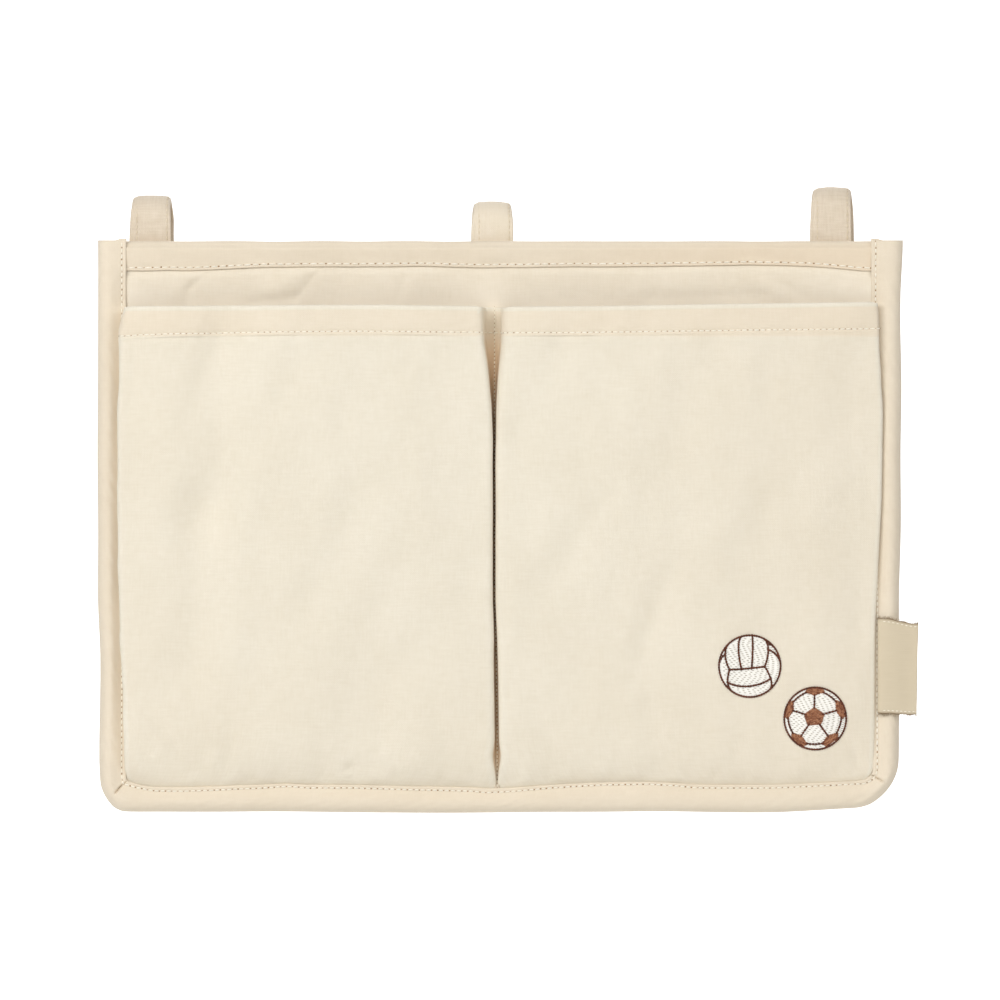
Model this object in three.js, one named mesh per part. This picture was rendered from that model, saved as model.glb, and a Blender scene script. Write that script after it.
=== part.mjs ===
// Hanging bedside caddy, sewn from cotton. A wadded back panel has a stuffed binding round three edges and a folded
// binding over its top. One pleated sheet, sewn down the middle and round its edges, makes two bellows pockets.
// Three straps go over a bed rail and close behind the panel with hook and loop tape.
// Millimetres. +X is to the right, +Z is up and the pockets face -Y. The origin is on the rail's axis, at the centre strap.
import * as THREE from "three";
import { mergeVertices } from "three/addons/utils/BufferGeometryUtils.js";

const { lerp, clamp, smoothstep } = THREE.MathUtils;

// Driving sizes
const BODY_WIDTH = 420;
const BODY_HEIGHT = 298.5;
const RAIL_RADIUS = 10;
const SEWN_GAP = 0.3;

// Back panel: two cloths with wadding between them, quilted only by the divider seam
const PANEL_CLOTH = 0.8;
const WADDING_THICK = 2.4;
const WADDING_CROWN = 1.6;
const CROWN_START = 6;
const CROWN_END = 20;
const DIVIDER_X = -1.2;

// Stuffed binding round the left, bottom and right edges
const EDGE_WIDTH = 15;
const EDGE_CLOTH = 0.9;
const EDGE_BULGE_FRONT = 7.2;
const EDGE_BULGE_BACK = 5.2;
const EDGE_STANDS_UP = 1.2;
const EDGE_FLANGE_SHARE = 0.17;
const EDGE_BULGE_SHARE = 0.58;
const EDGE_RAMP_STEPS = 3;
const EDGE_ROUND_STEPS = 5;
const PANEL_IN_EDGE = 6;
const LEFT_CORNER = { outer: 14, inner: 2 };
const RIGHT_CORNER = { outer: 24, inner: 5 };
const CORNER_STEPS = 6;
const FILLER_INSET = 3;

// Folded binding over the top edge
const TOP_CLOTH = 0.8;
const TOP_FLANGE = 14.4;
const TOP_TUCK = 4.5;
const TOP_RAMP = 6;

// Pocket sheet. Heights count up from its bottom seam, depths count forward from the panel's face.
const POCKET_CLOTH = 1.2;
const POCKET_DROP = 34;
const POCKET_HEM = 15.7;
const POCKET_TUCK = 4.5;
const POCKET_BELLY = 8.5;
const BELLY_RISE = 8;
const MOUTH_DEPTH = 16;
const FRONT_CROWN = 3.4;
const CROWN_RISE = 26;
const WALL_KNEE = 4.4;
const WALL_KNEE_SHARE = 0.5;
const WALL_FLAT = 1.4;
const WALL_STANDS_BY = 14;
const SIDE_OVERHANG = 5;
const OVERHANG_BY = 70;
const DIVIDER_ROOT_HALF = 1.6;
const DIVIDER_FOLD_HALF = 1.3;
const MOUTH_GAPE = { left: 6.3, right: 2 };
const GAPE_LENGTH = 62;
const OUTER_FOLD_ROUND = 4.5;
const INNER_FOLD_ROUND = 3.2;
const ROOT_ROUND = 1.2;
const FOLD_STEPS = 2;
const FOLD_REACH_SHARE = 0.45;
const FRONT_STEPS = 8;
const POCKET_ROW_SHARES = [0.02, 0.06, 0.13, 0.32, 0.58, 0.82];
const HEM_FREE = 3;


// Main folds in the pocket fronts: from and to are shares of a front's width, from its outer fold, and of its height
const DEEP_FOLD = 1.7;
const SOFT_FOLD = 1;
const NARROW_FOLD = 17;
const WIDE_FOLD = 20;
const POCKET_FOLDS = {
  left: [
    { fromShares: [0.3, 0.93], toShares: [0.17, 0.55], width: WIDE_FOLD, sink: DEEP_FOLD },
    { fromShares: [0.24, 0.5], toShares: [0.15, 0.18], width: NARROW_FOLD, sink: DEEP_FOLD },
    { fromShares: [0.66, 0.2], toShares: [0.52, 0], width: NARROW_FOLD, sink: SOFT_FOLD },
  ],
  right: [
    { fromShares: [0.62, 0.42], toShares: [0.8, 0.12], width: WIDE_FOLD, sink: SOFT_FOLD },
    { fromShares: [0.1, 0.9], toShares: [0.06, 0.3], width: NARROW_FOLD, sink: SOFT_FOLD },
  ],
};

// Straps. Each stands at its own height over the panel's top, and its free end lies a little to one side.
const STRAP_WIDTH = 20;
const STRAP_THICK = 2;
const STRAP_SEWN = 13;
const STRAP_EDGE = 0.5;
const ARC_STEPS = 6;
const SLOPE_STEPS = 8;
const SLOPE_PULL = 14;
const LEFT_STRAP_INSET = 28.1;
const LEFT_STRAP_STANDS = 23.6;
const LEFT_STRAP_SKEW = 1.2;
const CENTRE_STRAP_SHIFT = -3.3;
const CENTRE_STRAP_STANDS = 20.4;
const CENTRE_STRAP_SKEW = -1.6;
const RIGHT_STRAP_INSET = 36.1;
const RIGHT_STRAP_STANDS = 27.8;
const RIGHT_STRAP_SKEW = 2.1;

// Hook and loop tape
const TAPE_WIDTH = 16;
const TAPE_LENGTH = 28;
const TAPE_DROP = 22;
const TAPE_ROUND = 1.5;
const TAPE_ROUND_STEPS = 3;
const LOOP_TAPE = 1.5;
const HOOK_TAPE = 1.2;
const FLAP_PAST_TAPE = 3;

// Woven label, folded in two and sewn to the right edge
const LABEL_HEIGHT = 48.7;
const LABEL_DROP = 198.5;
const LABEL_CLOTH = 0.4;
const LABEL_START = 3;
const LABEL_END_PAST_EDGE = 8.5;
const LABEL_DROOP = 1.5;
const LABEL_PULL = 6;
const LABEL_FOLD_STEPS = 4;
const LABEL_CHAMFER = 0.1;

// Layers from the rail forward
const strapFrontY = -(RAIL_RADIUS + STRAP_THICK);
const backY = strapFrontY - SEWN_GAP - TOP_CLOTH - SEWN_GAP;
const panelStack = 2 * PANEL_CLOTH + WADDING_THICK + 2 * SEWN_GAP;
const frontY = backY - panelStack;
const middleY = (frontY + backY) / 2;
const pocketY = frontY - SEWN_GAP - POCKET_CLOTH / 2;

const straps = [
  { side: "left", x: LEFT_STRAP_INSET - BODY_WIDTH / 2, stands: LEFT_STRAP_STANDS, skew: LEFT_STRAP_SKEW },
  { side: "centre", x: CENTRE_STRAP_SHIFT, stands: CENTRE_STRAP_STANDS, skew: CENTRE_STRAP_SKEW },
  { side: "right", x: BODY_WIDTH / 2 - RIGHT_STRAP_INSET, stands: RIGHT_STRAP_STANDS, skew: RIGHT_STRAP_SKEW },
];

// Heights
const topZ = RAIL_RADIUS + STRAP_THICK - CENTRE_STRAP_STANDS;
const bottomZ = topZ - BODY_HEIGHT;
const edgeInnerZ = bottomZ + EDGE_WIDTH;
const pocketSeamZ = edgeInnerZ + SEWN_GAP + POCKET_CLOTH / 2;
const mouthZ = topZ - POCKET_DROP;
const pocketHeight = mouthZ - pocketSeamZ;
const topArchRadius = panelStack / 2 + SEWN_GAP + TOP_CLOTH;

const cotton = (colour, roughness = 0.9) =>
  new THREE.MeshStandardMaterial({ color: colour, roughness, metalness: 0 });
const panelCotton = cotton(0xeadfca);
const pocketCotton = cotton(0xf1e8d5);
const bindingCotton = cotton(0xecdfc7);
const strapCotton = cotton(0xe5d6bf);
const filling = cotton(0xf6f3ec, 1);
const tape = cotton(0xe9e0cf, 0.8);
const labelCotton = cotton(0xdbcfb6, 0.6);

const caddy = new THREE.Group();

/** Adds a named mesh to a group. */
function addPiece(group, name, geometry, material) {
  const mesh = new THREE.Mesh(geometry, material);
  mesh.name = name;
  group.add(mesh);
}

/** A closed geometry from points and triangles, its faces turned outwards. */
function closedGeometry(points, triangles) {
  const volume = triangles.reduce(
    (sum, [a, b, c]) => sum + points[a].dot(new THREE.Vector3().crossVectors(points[b], points[c])),
    0,
  );
  const facing = volume < 0 ? triangles.map(([a, b, c]) => [a, c, b]) : triangles;
  const geometry = new THREE.BufferGeometry().setFromPoints(points).setIndex(facing.flat());
  const merged = mergeVertices(geometry);
  merged.computeVertexNormals();
  return merged;
}

/** A sheet with thickness, closed round its rim, from two grids of points that face each other. */
function sheetBetween(near, far) {
  const rows = near.length;
  const columns = near[0].length;
  const points = [...near.flat(), ...far.flat()];
  const at = (layer, row, column) => (layer * rows + row) * columns + column;
  const triangles = [];
  const quad = (a, b, c, d) => triangles.push([a, b, c], [a, c, d]);
  for (let row = 0; row + 1 < rows; row += 1) {
    for (let column = 0; column + 1 < columns; column += 1) {
      quad(at(0, row, column), at(0, row, column + 1), at(0, row + 1, column + 1), at(0, row + 1, column));
      quad(at(1, row, column), at(1, row + 1, column), at(1, row + 1, column + 1), at(1, row, column + 1));
    }
    for (const [column, turned] of [[0, false], [columns - 1, true]]) {
      const rim = [at(0, row, column), at(0, row + 1, column), at(1, row + 1, column), at(1, row, column)];
      quad(...(turned ? rim.reverse() : rim));
    }
  }
  for (let column = 0; column + 1 < columns; column += 1) {
    for (const [row, turned] of [[0, true], [rows - 1, false]]) {
      const rim = [at(0, row, column), at(0, row, column + 1), at(1, row, column + 1), at(1, row, column)];
      quad(...(turned ? rim.reverse() : rim));
    }
  }
  return closedGeometry(points, triangles);
}

/** A skin over closed rings of points, capped at both ends with the section's own triangles. */
function skinOver(rings, section) {
  const count = section.length;
  const triangles = [];
  for (let ring = 0; ring + 1 < rings.length; ring += 1) {
    for (let i = 0; i < count; i += 1) {
      const next = (i + 1) % count;
      const [a, b, c, d] = [ring * count + i, ring * count + next, (ring + 1) * count + next, (ring + 1) * count + i];
      triangles.push([a, b, c], [a, c, d]);
    }
  }
  const last = (rings.length - 1) * count;
  const outline = section.map(([u, v]) => new THREE.Vector2(u, v));
  const clockwise = THREE.ShapeUtils.isClockWise(outline);
  for (const face of THREE.ShapeUtils.triangulateShape(outline, [])) {
    const [a, b, c] = clockwise ? [...face].reverse() : face;
    triangles.push([a, c, b].map((i) => (clockwise ? last + i : i)));
    triangles.push([a, b, c].map((i) => (clockwise ? i : last + i)));
  }
  return closedGeometry(rings.flat(), triangles);
}

/** A flat ribbon with chamfered edges along curves, its width along one axis. */
function ribbon(samples, widthAxis, width, thick, chamfer) {
  const halfWidth = width / 2;
  const halfThick = thick / 2;
  const section = [
    [halfWidth, halfThick - chamfer], [halfWidth - chamfer, halfThick],
    [chamfer - halfWidth, halfThick], [-halfWidth, halfThick - chamfer],
    [-halfWidth, chamfer - halfThick], [chamfer - halfWidth, -halfThick],
    [halfWidth - chamfer, -halfThick], [halfWidth, chamfer - halfThick],
  ];
  const rings = samples.map(({ point, tangent }) => {
    const normal = new THREE.Vector3().crossVectors(tangent, widthAxis).normalize();
    return section.map(([u, v]) => point.clone().addScaledVector(widthAxis, u).addScaledVector(normal, v));
  });
  return skinOver(rings, section);
}

/** Points and tangents along curves that join end to end, each with its own number of steps. */
function sampled(curves) {
  const samples = [];
  curves.forEach(([curve, steps], index) => {
    for (let i = index === 0 ? 0 : 1; i <= steps; i += 1) {
      samples.push({ point: curve.getPoint(i / steps), tangent: curve.getTangent(i / steps) });
    }
  });
  return samples;
}

/** A quarter circle in the YZ plane, about a centre, from one angle in quarter turns to another. */
class RailArc extends THREE.Curve {
  constructor(x, centreZ, radius, from, to) {
    super();
    Object.assign(this, { x, centreZ, radius, from, to });
  }

  getPoint(share) {
    const angle = lerp(this.from, this.to, share);
    return new THREE.Vector3(this.x, this.radius * Math.cos(angle), this.centreZ + this.radius * Math.sin(angle));
  }
}

// The U-shaped edge, as points on the binding's inner edge with their partners on its outer edge

/** The two points of a corner at an angle, for the left corner (side -1) or the right one (side 1). */
function cornerStation(side, angle) {
  const corner = side < 0 ? LEFT_CORNER : RIGHT_CORNER;
  const point = (inset, radius) => [
    side * (BODY_WIDTH / 2 - inset - radius) + radius * Math.cos(angle),
    bottomZ + inset + radius + radius * Math.sin(angle),
  ];
  return { inner: point(EDGE_WIDTH, corner.inner), outer: point(0, corner.outer) };
}

/** A station on the straight left or right side. */
function sideStation(side, z) {
  return { inner: [side * (BODY_WIDTH / 2 - EDGE_WIDTH), z], outer: [(side * BODY_WIDTH) / 2, z] };
}

const tuckEndZ = topZ - TOP_FLANGE - SEWN_GAP;
const sideHeights = [topZ + EDGE_STANDS_UP, tuckEndZ, tuckEndZ - TOP_RAMP];
const cornerAngles = (from) =>
  Array.from({ length: CORNER_STEPS + 1 }, (_, i) => from + (i / CORNER_STEPS) * (Math.PI / 2));
const edgeStations = [
  ...sideHeights.map((z) => sideStation(-1, z)),
  ...cornerAngles(Math.PI).map((angle) => cornerStation(-1, angle)),
  ...cornerAngles(1.5 * Math.PI).map((angle) => cornerStation(1, angle)),
  ...[...sideHeights].reverse().map((z) => sideStation(1, z)),
];

/** A point at a share of the way from the inner edge (0) to the outer edge (1) of a station. */
const acrossEdge = ({ inner, outer }, share) => [lerp(inner[0], outer[0], share), lerp(inner[1], outer[1], share)];

/** The X of the edge line at a share, on one side, at a height. */
function sideX(side, z, share) {
  const line = edgeStations.map((station) => acrossEdge(station, share)).filter(([x]) => x * side > 0);
  const down = side < 0 ? line : line.reverse();
  if (z >= down[0][1]) {
    return down[0][0];
  }
  for (let i = 0; i + 1 < down.length; i += 1) {
    const [[x0, z0], [x1, z1]] = [down[i], down[i + 1]];
    if (z <= z0 && z >= z1) {
      return z0 === z1 ? x0 : lerp(x1, x0, (z - z1) / (z0 - z1));
    }
  }
  return down.at(-1)[0];
}

const panelShare = PANEL_IN_EDGE / EDGE_WIDTH;
const panelBottomZ = edgeInnerZ - PANEL_IN_EDGE;
const crownTopZ = topZ - TAPE_DROP - TAPE_LENGTH - FLAP_PAST_TAPE;

// Back panel

/** How far the wadding lifts the rear cloth, by the distances to the panel's edges and to the divider seam. */
function crownAt(x, z, leftX, rightX) {
  const rise = (distance) => clamp((distance - CROWN_START) / (CROWN_END - CROWN_START), 0, 1);
  const acrossShare = Math.min(rise(x - leftX), rise(rightX - x), rise(Math.abs(x - DIVIDER_X)));
  return WADDING_CROWN * Math.min(acrossShare, rise(z - panelBottomZ), rise(crownTopZ - z));
}

/** A layer of the panel between two depths, each a function of place. */
function panelLayer(topEdgeZ, nearDepth, farDepth) {
  const cornerRows = Array.from({ length: CORNER_STEPS + 1 }, (_, i) =>
    lerp(panelBottomZ, panelBottomZ + RIGHT_CORNER.outer, 1 - Math.cos((i / CORNER_STEPS) * (Math.PI / 2))),
  );
  const heights = [
    ...cornerRows,
    panelBottomZ + CROWN_START,
    panelBottomZ + CROWN_END,
    crownTopZ - CROWN_END,
    crownTopZ - CROWN_START,
    topEdgeZ,
  ].sort((a, b) => a - b);
  const grid = (depth) =>
    heights.map((z) => {
      const [leftX, rightX] = [-1, 1].map((side) => sideX(side, z, panelShare));
      const columns = [
        leftX, leftX + CROWN_START, leftX + CROWN_END,
        DIVIDER_X - CROWN_END, DIVIDER_X - CROWN_START, DIVIDER_X + CROWN_START, DIVIDER_X + CROWN_END,
        rightX - CROWN_END, rightX - CROWN_START, rightX,
      ];
      return columns.map((x) => new THREE.Vector3(x, depth(crownAt(x, z, leftX, rightX)), z));
    });
  return sheetBetween(grid(nearDepth), grid(farDepth));
}

const panelTopZ = topZ - topArchRadius;
const waddingTopZ = panelTopZ + WADDING_THICK / 2;
const frontClothBackY = frontY + PANEL_CLOTH;
const rearClothFrontY = backY - PANEL_CLOTH;

addPiece(
  caddy, "rear_panel",
  panelLayer(panelTopZ, (crown) => rearClothFrontY + crown, (crown) => backY + crown), panelCotton,
);
addPiece(
  caddy, "wadding",
  panelLayer(waddingTopZ, () => frontClothBackY + SEWN_GAP, (crown) => rearClothFrontY - SEWN_GAP + crown), filling,
);
addPiece(caddy, "front_panel", panelLayer(panelTopZ, () => frontY, () => frontClothBackY), panelCotton);

// Stuffed edge binding and the filler that it is wrapped round

/** The depth of one half of the binding's section at a share across it, for a flat and a bulging size. */
function edgeDepth(share, flat, bulge, endShare) {
  if (share <= EDGE_BULGE_SHARE) {
    return lerp(flat, bulge, smoothstep(share, EDGE_FLANGE_SHARE, EDGE_BULGE_SHARE));
  }
  const along = clamp((share - EDGE_BULGE_SHARE) / (endShare - EDGE_BULGE_SHARE), 0, 1);
  return bulge * Math.sqrt(1 - along * along);
}

/** Shares across the binding where its section has points, from a start to an end. */
function edgeShares(startShare, endShare) {
  const rampFrom = Math.max(startShare, EDGE_FLANGE_SHARE);
  const ramp = Array.from({ length: EDGE_RAMP_STEPS + 1 }, (_, i) =>
    lerp(rampFrom, EDGE_BULGE_SHARE, i / EDGE_RAMP_STEPS),
  );
  const round = Array.from({ length: EDGE_ROUND_STEPS }, (_, i) =>
    lerp(EDGE_BULGE_SHARE, endShare, Math.sin(((i + 1) / EDGE_ROUND_STEPS) * (Math.PI / 2))),
  );
  return startShare < EDGE_FLANGE_SHARE ? [startShare, ...ramp, ...round] : [...ramp, ...round];
}

const pocketRoom = POCKET_CLOTH + SEWN_GAP;
const edgeFlat = panelStack / 2 + SEWN_GAP + EDGE_CLOTH;

/** One half of a section: its points from the start share to the end, at negative depth in front. */
function edgeHalf(startShare, inset, room, bulge, facing) {
  const endShare = 1 - inset / EDGE_WIDTH;
  return edgeShares(startShare, endShare).map((share) => [
    share,
    facing * edgeDepth(share, edgeFlat + room - inset, bulge - inset, endShare),
  ]);
}

/** Extra room inside the back flange, where the top binding's end is tucked in. */
function backRoom({ inner }) {
  return (TOP_CLOTH + SEWN_GAP) * smoothstep(inner[1], tuckEndZ - TOP_RAMP, tuckEndZ);
}

/** Rings of section points in space, one for each station. */
function edgeRings(sectionOf) {
  return edgeStations.map((station) =>
    sectionOf(station).map(([share, depth]) => {
      const [x, z] = acrossEdge(station, share);
      return new THREE.Vector3(x, middleY + depth, z);
    }),
  );
}

const bindingSection = (station) => [
  ...edgeHalf(0, 0, pocketRoom, EDGE_BULGE_FRONT, -1),
  ...edgeHalf(0, 0, backRoom(station), EDGE_BULGE_BACK, 1).reverse().slice(1),
  ...edgeHalf(0, EDGE_CLOTH, backRoom(station), EDGE_BULGE_BACK, 1),
  ...edgeHalf(0, EDGE_CLOTH, pocketRoom, EDGE_BULGE_FRONT, -1).reverse().slice(1),
];
addPiece(
  caddy, "edge_binding",
  skinOver(edgeRings(bindingSection), bindingSection(edgeStations[0])), bindingCotton,
);

const fillerStartShare = panelShare + SEWN_GAP / EDGE_WIDTH;
const fillerInset = EDGE_CLOTH + SEWN_GAP;
const fillerSection = () => [
  ...edgeHalf(fillerStartShare, fillerInset, pocketRoom, EDGE_BULGE_FRONT, -1),
  ...edgeHalf(fillerStartShare, fillerInset, 0, EDGE_BULGE_BACK, 1).reverse().slice(1),
];
const fillerRings = edgeRings(fillerSection);
for (const ring of [fillerRings[0], fillerRings.at(-1)]) {
  ring.forEach((point) => {
    point.z -= FILLER_INSET;
  });
}
addPiece(caddy, "edge_filler", skinOver(fillerRings, fillerSection()), filling);

// Top binding: a strip folded over the panel's top, its ends tucked into the edge binding

/** The inverted U of the top binding, across the panel. */
function topBindingShape() {
  const outer = topArchRadius;
  const inner = outer - TOP_CLOTH;
  const archZ = topZ - outer;
  const hemZ = topZ - TOP_FLANGE;
  return new THREE.Shape()
    .moveTo(middleY - outer, hemZ)
    .lineTo(middleY - outer, archZ)
    .absarc(middleY, archZ, outer, Math.PI, 0, true)
    .lineTo(middleY + outer, hemZ)
    .lineTo(middleY + inner, hemZ)
    .lineTo(middleY + inner, archZ)
    .absarc(middleY, archZ, inner, 0, Math.PI, false)
    .lineTo(middleY - inner, hemZ);
}

const topBindingLength = BODY_WIDTH - 2 * EDGE_WIDTH + 2 * TOP_TUCK;
const topBinding = new THREE.ExtrudeGeometry(topBindingShape(), {
  depth: topBindingLength,
  bevelEnabled: false,
  curveSegments: ARC_STEPS,
});
topBinding.applyMatrix4(
  new THREE.Matrix4().makeBasis(
    new THREE.Vector3(0, 1, 0), new THREE.Vector3(0, 0, 1), new THREE.Vector3(1, 0, 0),
  ),
);
topBinding.translate(-topBindingLength / 2, 0, 0);
addPiece(caddy, "top_binding", topBinding, bindingCotton);

// Pocket sheet

/** How far the pocket's fold lines stand in front of the panel at a height over the bottom seam. */
function foldDepth(height) {
  const lift = Math.max(height, 0);
  return POCKET_BELLY * (1 - Math.exp(-lift / BELLY_RISE)) + (MOUTH_DEPTH - POCKET_BELLY) * (lift / pocketHeight);
}

/** How far the middle of a pocket's front stands in front of its fold lines. */
function frontCrown(height) {
  return FRONT_CROWN * (1 - Math.exp(-Math.max(height, 0) / CROWN_RISE));
}

/** How far the folds of a pocket's front sink it, at a share of its width from its outer fold and a height. */
function foldSink(side, share, height) {
  const frontWidth = BODY_WIDTH / 2 - EDGE_WIDTH;
  const place = ([across, up]) => new THREE.Vector3(across * frontWidth, up * pocketHeight, 0);
  const here = new THREE.Vector3(share * frontWidth, height, 0);
  const folds = side < 0 ? POCKET_FOLDS.left : POCKET_FOLDS.right;
  return folds.reduce((sum, { fromShares, toShares, width, sink }) => {
    const line = new THREE.Line3(place(fromShares), place(toShares));
    const distance = here.distanceTo(line.closestPointToPoint(here, true, new THREE.Vector3()));
    return sum + sink * Math.exp(-((distance / width) ** 2));
  }, 0);
}

/** A polyline with each inner corner rounded, always with the same number of points. */
function rounded(corners, radii) {
  const line = [corners[0]];
  for (let i = 1; i + 1 < corners.length; i += 1) {
    const [before, corner, after] = [corners[i - 1], corners[i], corners[i + 1]];
    const nearest = Math.min(corner.distanceTo(before), corner.distanceTo(after));
    const reach = Math.min(radii[i - 1], nearest * FOLD_REACH_SHARE);
    const towards = (other) => corner.clone().lerp(other, reach / corner.distanceTo(other));
    const bend = new THREE.QuadraticBezierCurve(towards(before), corner, towards(after));
    line.push(...bend.getPoints(FOLD_STEPS));
  }
  line.push(corners.at(-1));
  return line;
}

/** One pocket's section at a height: the corners of its outer wall, front and inner wall, from left to right. */
function pocketCorners(side, z, height, edgeX) {
  const standing = smoothstep(height, 0, WALL_STANDS_BY);
  const depth = foldDepth(height);
  const knee = Math.min(WALL_KNEE, depth * WALL_KNEE_SHARE);
  const rootClearance = SEWN_GAP + POCKET_CLOTH / 2;
  const innerEdgeX = sideX(side, Math.max(z, pocketSeamZ), 0);
  const rootX = Math.min(Math.abs(innerEdgeX), Math.abs(edgeX) - rootClearance) - rootClearance;
  const gape = side < 0 ? MOUTH_GAPE.left : MOUTH_GAPE.right;
  const open = gape * (1 - smoothstep(pocketHeight - height, 0, GAPE_LENGTH));
  const seamX = side * DIVIDER_X;
  const laidFlat = WALL_FLAT * (1 - standing);
  const corner = (x, forward) => new THREE.Vector2(side * x, pocketY - forward);
  return [
    corner(rootX, 0),
    corner(rootX - laidFlat * WALL_KNEE_SHARE, knee),
    corner(rootX - laidFlat + SIDE_OVERHANG * smoothstep(height, 0, OVERHANG_BY), depth),
    corner(seamX + DIVIDER_FOLD_HALF + laidFlat + open, depth),
    corner(seamX + DIVIDER_FOLD_HALF + laidFlat * WALL_KNEE_SHARE, knee),
    corner(seamX + DIVIDER_ROOT_HALF, 0),
  ];
}

/** One pocket's section as a rounded line, with the front's crown added between its folds. */
function pocketLine(side, z, height, edgeX) {
  const corners = pocketCorners(side, z, height, edgeX);
  const [outerFold, innerFold] = [corners[2], corners[3]];
  const fronts = Array.from({ length: FRONT_STEPS }, (_, i) => {
    const share = (i + 1) / (FRONT_STEPS + 1);
    const point = outerFold.clone().lerp(innerFold, share);
    const loose = smoothstep(height, 0, BELLY_RISE) * Math.sin(Math.PI * share);
    point.y -= frontCrown(height) * Math.sin(Math.PI * share) - loose * foldSink(side, share, height);
    return point;
  });
  const tuck = new THREE.Vector2(edgeX, pocketY);
  const outer = [tuck, ...corners.slice(0, 3), fronts[0]];
  const inner = [fronts.at(-1), ...corners.slice(3), new THREE.Vector2(DIVIDER_X, pocketY)];
  return [
    ...rounded(outer, [ROOT_ROUND, ROOT_ROUND, OUTER_FOLD_ROUND]),
    ...fronts.slice(1, -1),
    ...rounded(inner, [INNER_FOLD_ROUND, ROOT_ROUND, ROOT_ROUND]),
  ];
}

/** The whole sheet's middle surface at one height, from left to right. */
function pocketRow(z) {
  const height = z - pocketSeamZ;
  const tuckShare = POCKET_TUCK / EDGE_WIDTH;
  const [left, right] = [-1, 1].map((side) => pocketLine(side, z, height, sideX(side, z, tuckShare)));
  return [...left, ...right.reverse().slice(1)].map(({ x, y }) => new THREE.Vector3(x, y, z));
}

/** Unit normals of a grid of points, from its neighbours along rows and columns. */
function gridNormals(grid) {
  return grid.map((row, r) =>
    row.map((_, c) => {
      const along = row[Math.min(c + 1, row.length - 1)].clone().sub(row[Math.max(c - 1, 0)]);
      const up = grid[Math.min(r + 1, grid.length - 1)][c].clone().sub(grid[Math.max(r - 1, 0)][c]);
      return along.cross(up).normalize();
    }),
  );
}

const hemZ = mouthZ - POCKET_HEM;
const pocketHeights = [
  edgeInnerZ - POCKET_TUCK,
  pocketSeamZ,
  ...POCKET_ROW_SHARES.map((share) => pocketSeamZ + share * pocketHeight),
  hemZ,
  hemZ + POCKET_CLOTH,
  mouthZ,
];
const pocketMiddle = pocketHeights.map(pocketRow);
const pocketNormals = gridNormals(pocketMiddle);
const insideHalf = () => POCKET_CLOTH / 2;

/** Half the sheet's thickness outwards: the hem is turned out, so it is doubled where it stands clear of the panel. */
function outsideHalf({ y, z }) {
  const free = smoothstep(pocketY - y, WALL_KNEE, WALL_KNEE + HEM_FREE);
  return POCKET_CLOTH / 2 + (z > hemZ ? POCKET_CLOTH * free : 0);
}

const offsetGrid = (sign, half) =>
  pocketMiddle.map((row, r) =>
    row.map((point, c) => point.clone().addScaledVector(pocketNormals[r][c], sign * half(point))),
  );
addPiece(caddy, "pocket_sheet", sheetBetween(offsetGrid(1, outsideHalf), offsetGrid(-1, insideHalf)), pocketCotton);

// Label

/** The folded label's line round the outside of the binding, seen from above. */
function labelCurves() {
  const pitch = LABEL_CLOTH + SEWN_GAP;
  const rearY = middleY - EDGE_BULGE_FRONT - SEWN_GAP - LABEL_CLOTH / 2;
  const startX = BODY_WIDTH / 2 - EDGE_WIDTH + LABEL_START;
  const startY = middleY - edgeFlat - pocketRoom - SEWN_GAP - LABEL_CLOTH / 2;
  const bulgeX = BODY_WIDTH / 2 - EDGE_WIDTH * (1 - EDGE_BULGE_SHARE);
  const endX = BODY_WIDTH / 2 + LABEL_END_PAST_EDGE - pitch / 2 - LABEL_CLOTH / 2;
  const endY = rearY + LABEL_DROOP;
  const labelZ = topZ - LABEL_DROP - LABEL_HEIGHT / 2;
  const at = (x, y) => new THREE.Vector3(x, y, labelZ);
  const layer = (offset, towardsSeam) => {
    const start = at(startX, startY - offset);
    const crest = at(bulgeX, rearY - offset);
    const end = at(endX, endY - offset);
    const rise = new THREE.CubicBezierCurve3(
      start, at(startX + LABEL_CLOTH, rearY - offset), at(bulgeX - LABEL_CLOTH, rearY - offset), crest,
    );
    const fall = new THREE.CubicBezierCurve3(
      crest, at(bulgeX + LABEL_PULL, rearY - offset), at(endX - LABEL_PULL, endY - offset), end,
    );
    if (!towardsSeam) {
      return [[rise, LABEL_FOLD_STEPS], [fall, LABEL_FOLD_STEPS]];
    }
    const back = (curve) => new THREE.CubicBezierCurve3(curve.v3, curve.v2, curve.v1, curve.v0);
    return [[back(fall), LABEL_FOLD_STEPS], [back(rise), LABEL_FOLD_STEPS]];
  };
  const turnOut = endX + (pitch * 2) / 3;
  const fold = new THREE.CubicBezierCurve3(
    at(endX, endY - pitch), at(turnOut, endY - pitch), at(turnOut, endY), at(endX, endY),
  );
  return [...layer(pitch, false), [fold, LABEL_FOLD_STEPS], ...layer(0, true)];
}

addPiece(
  caddy, "woven_label",
  ribbon(sampled(labelCurves()), new THREE.Vector3(0, 0, 1), LABEL_HEIGHT, LABEL_CLOTH, LABEL_CHAMFER), labelCotton,
);

// Straps

const acrossStrap = new THREE.Vector3(1, 0, 0);
const strapRadius = RAIL_RADIUS + STRAP_THICK / 2;
const hookBackY = backY + SEWN_GAP + LOOP_TAPE + SEWN_GAP + HOOK_TAPE;
const flapY = hookBackY + SEWN_GAP + STRAP_THICK / 2;

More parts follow.
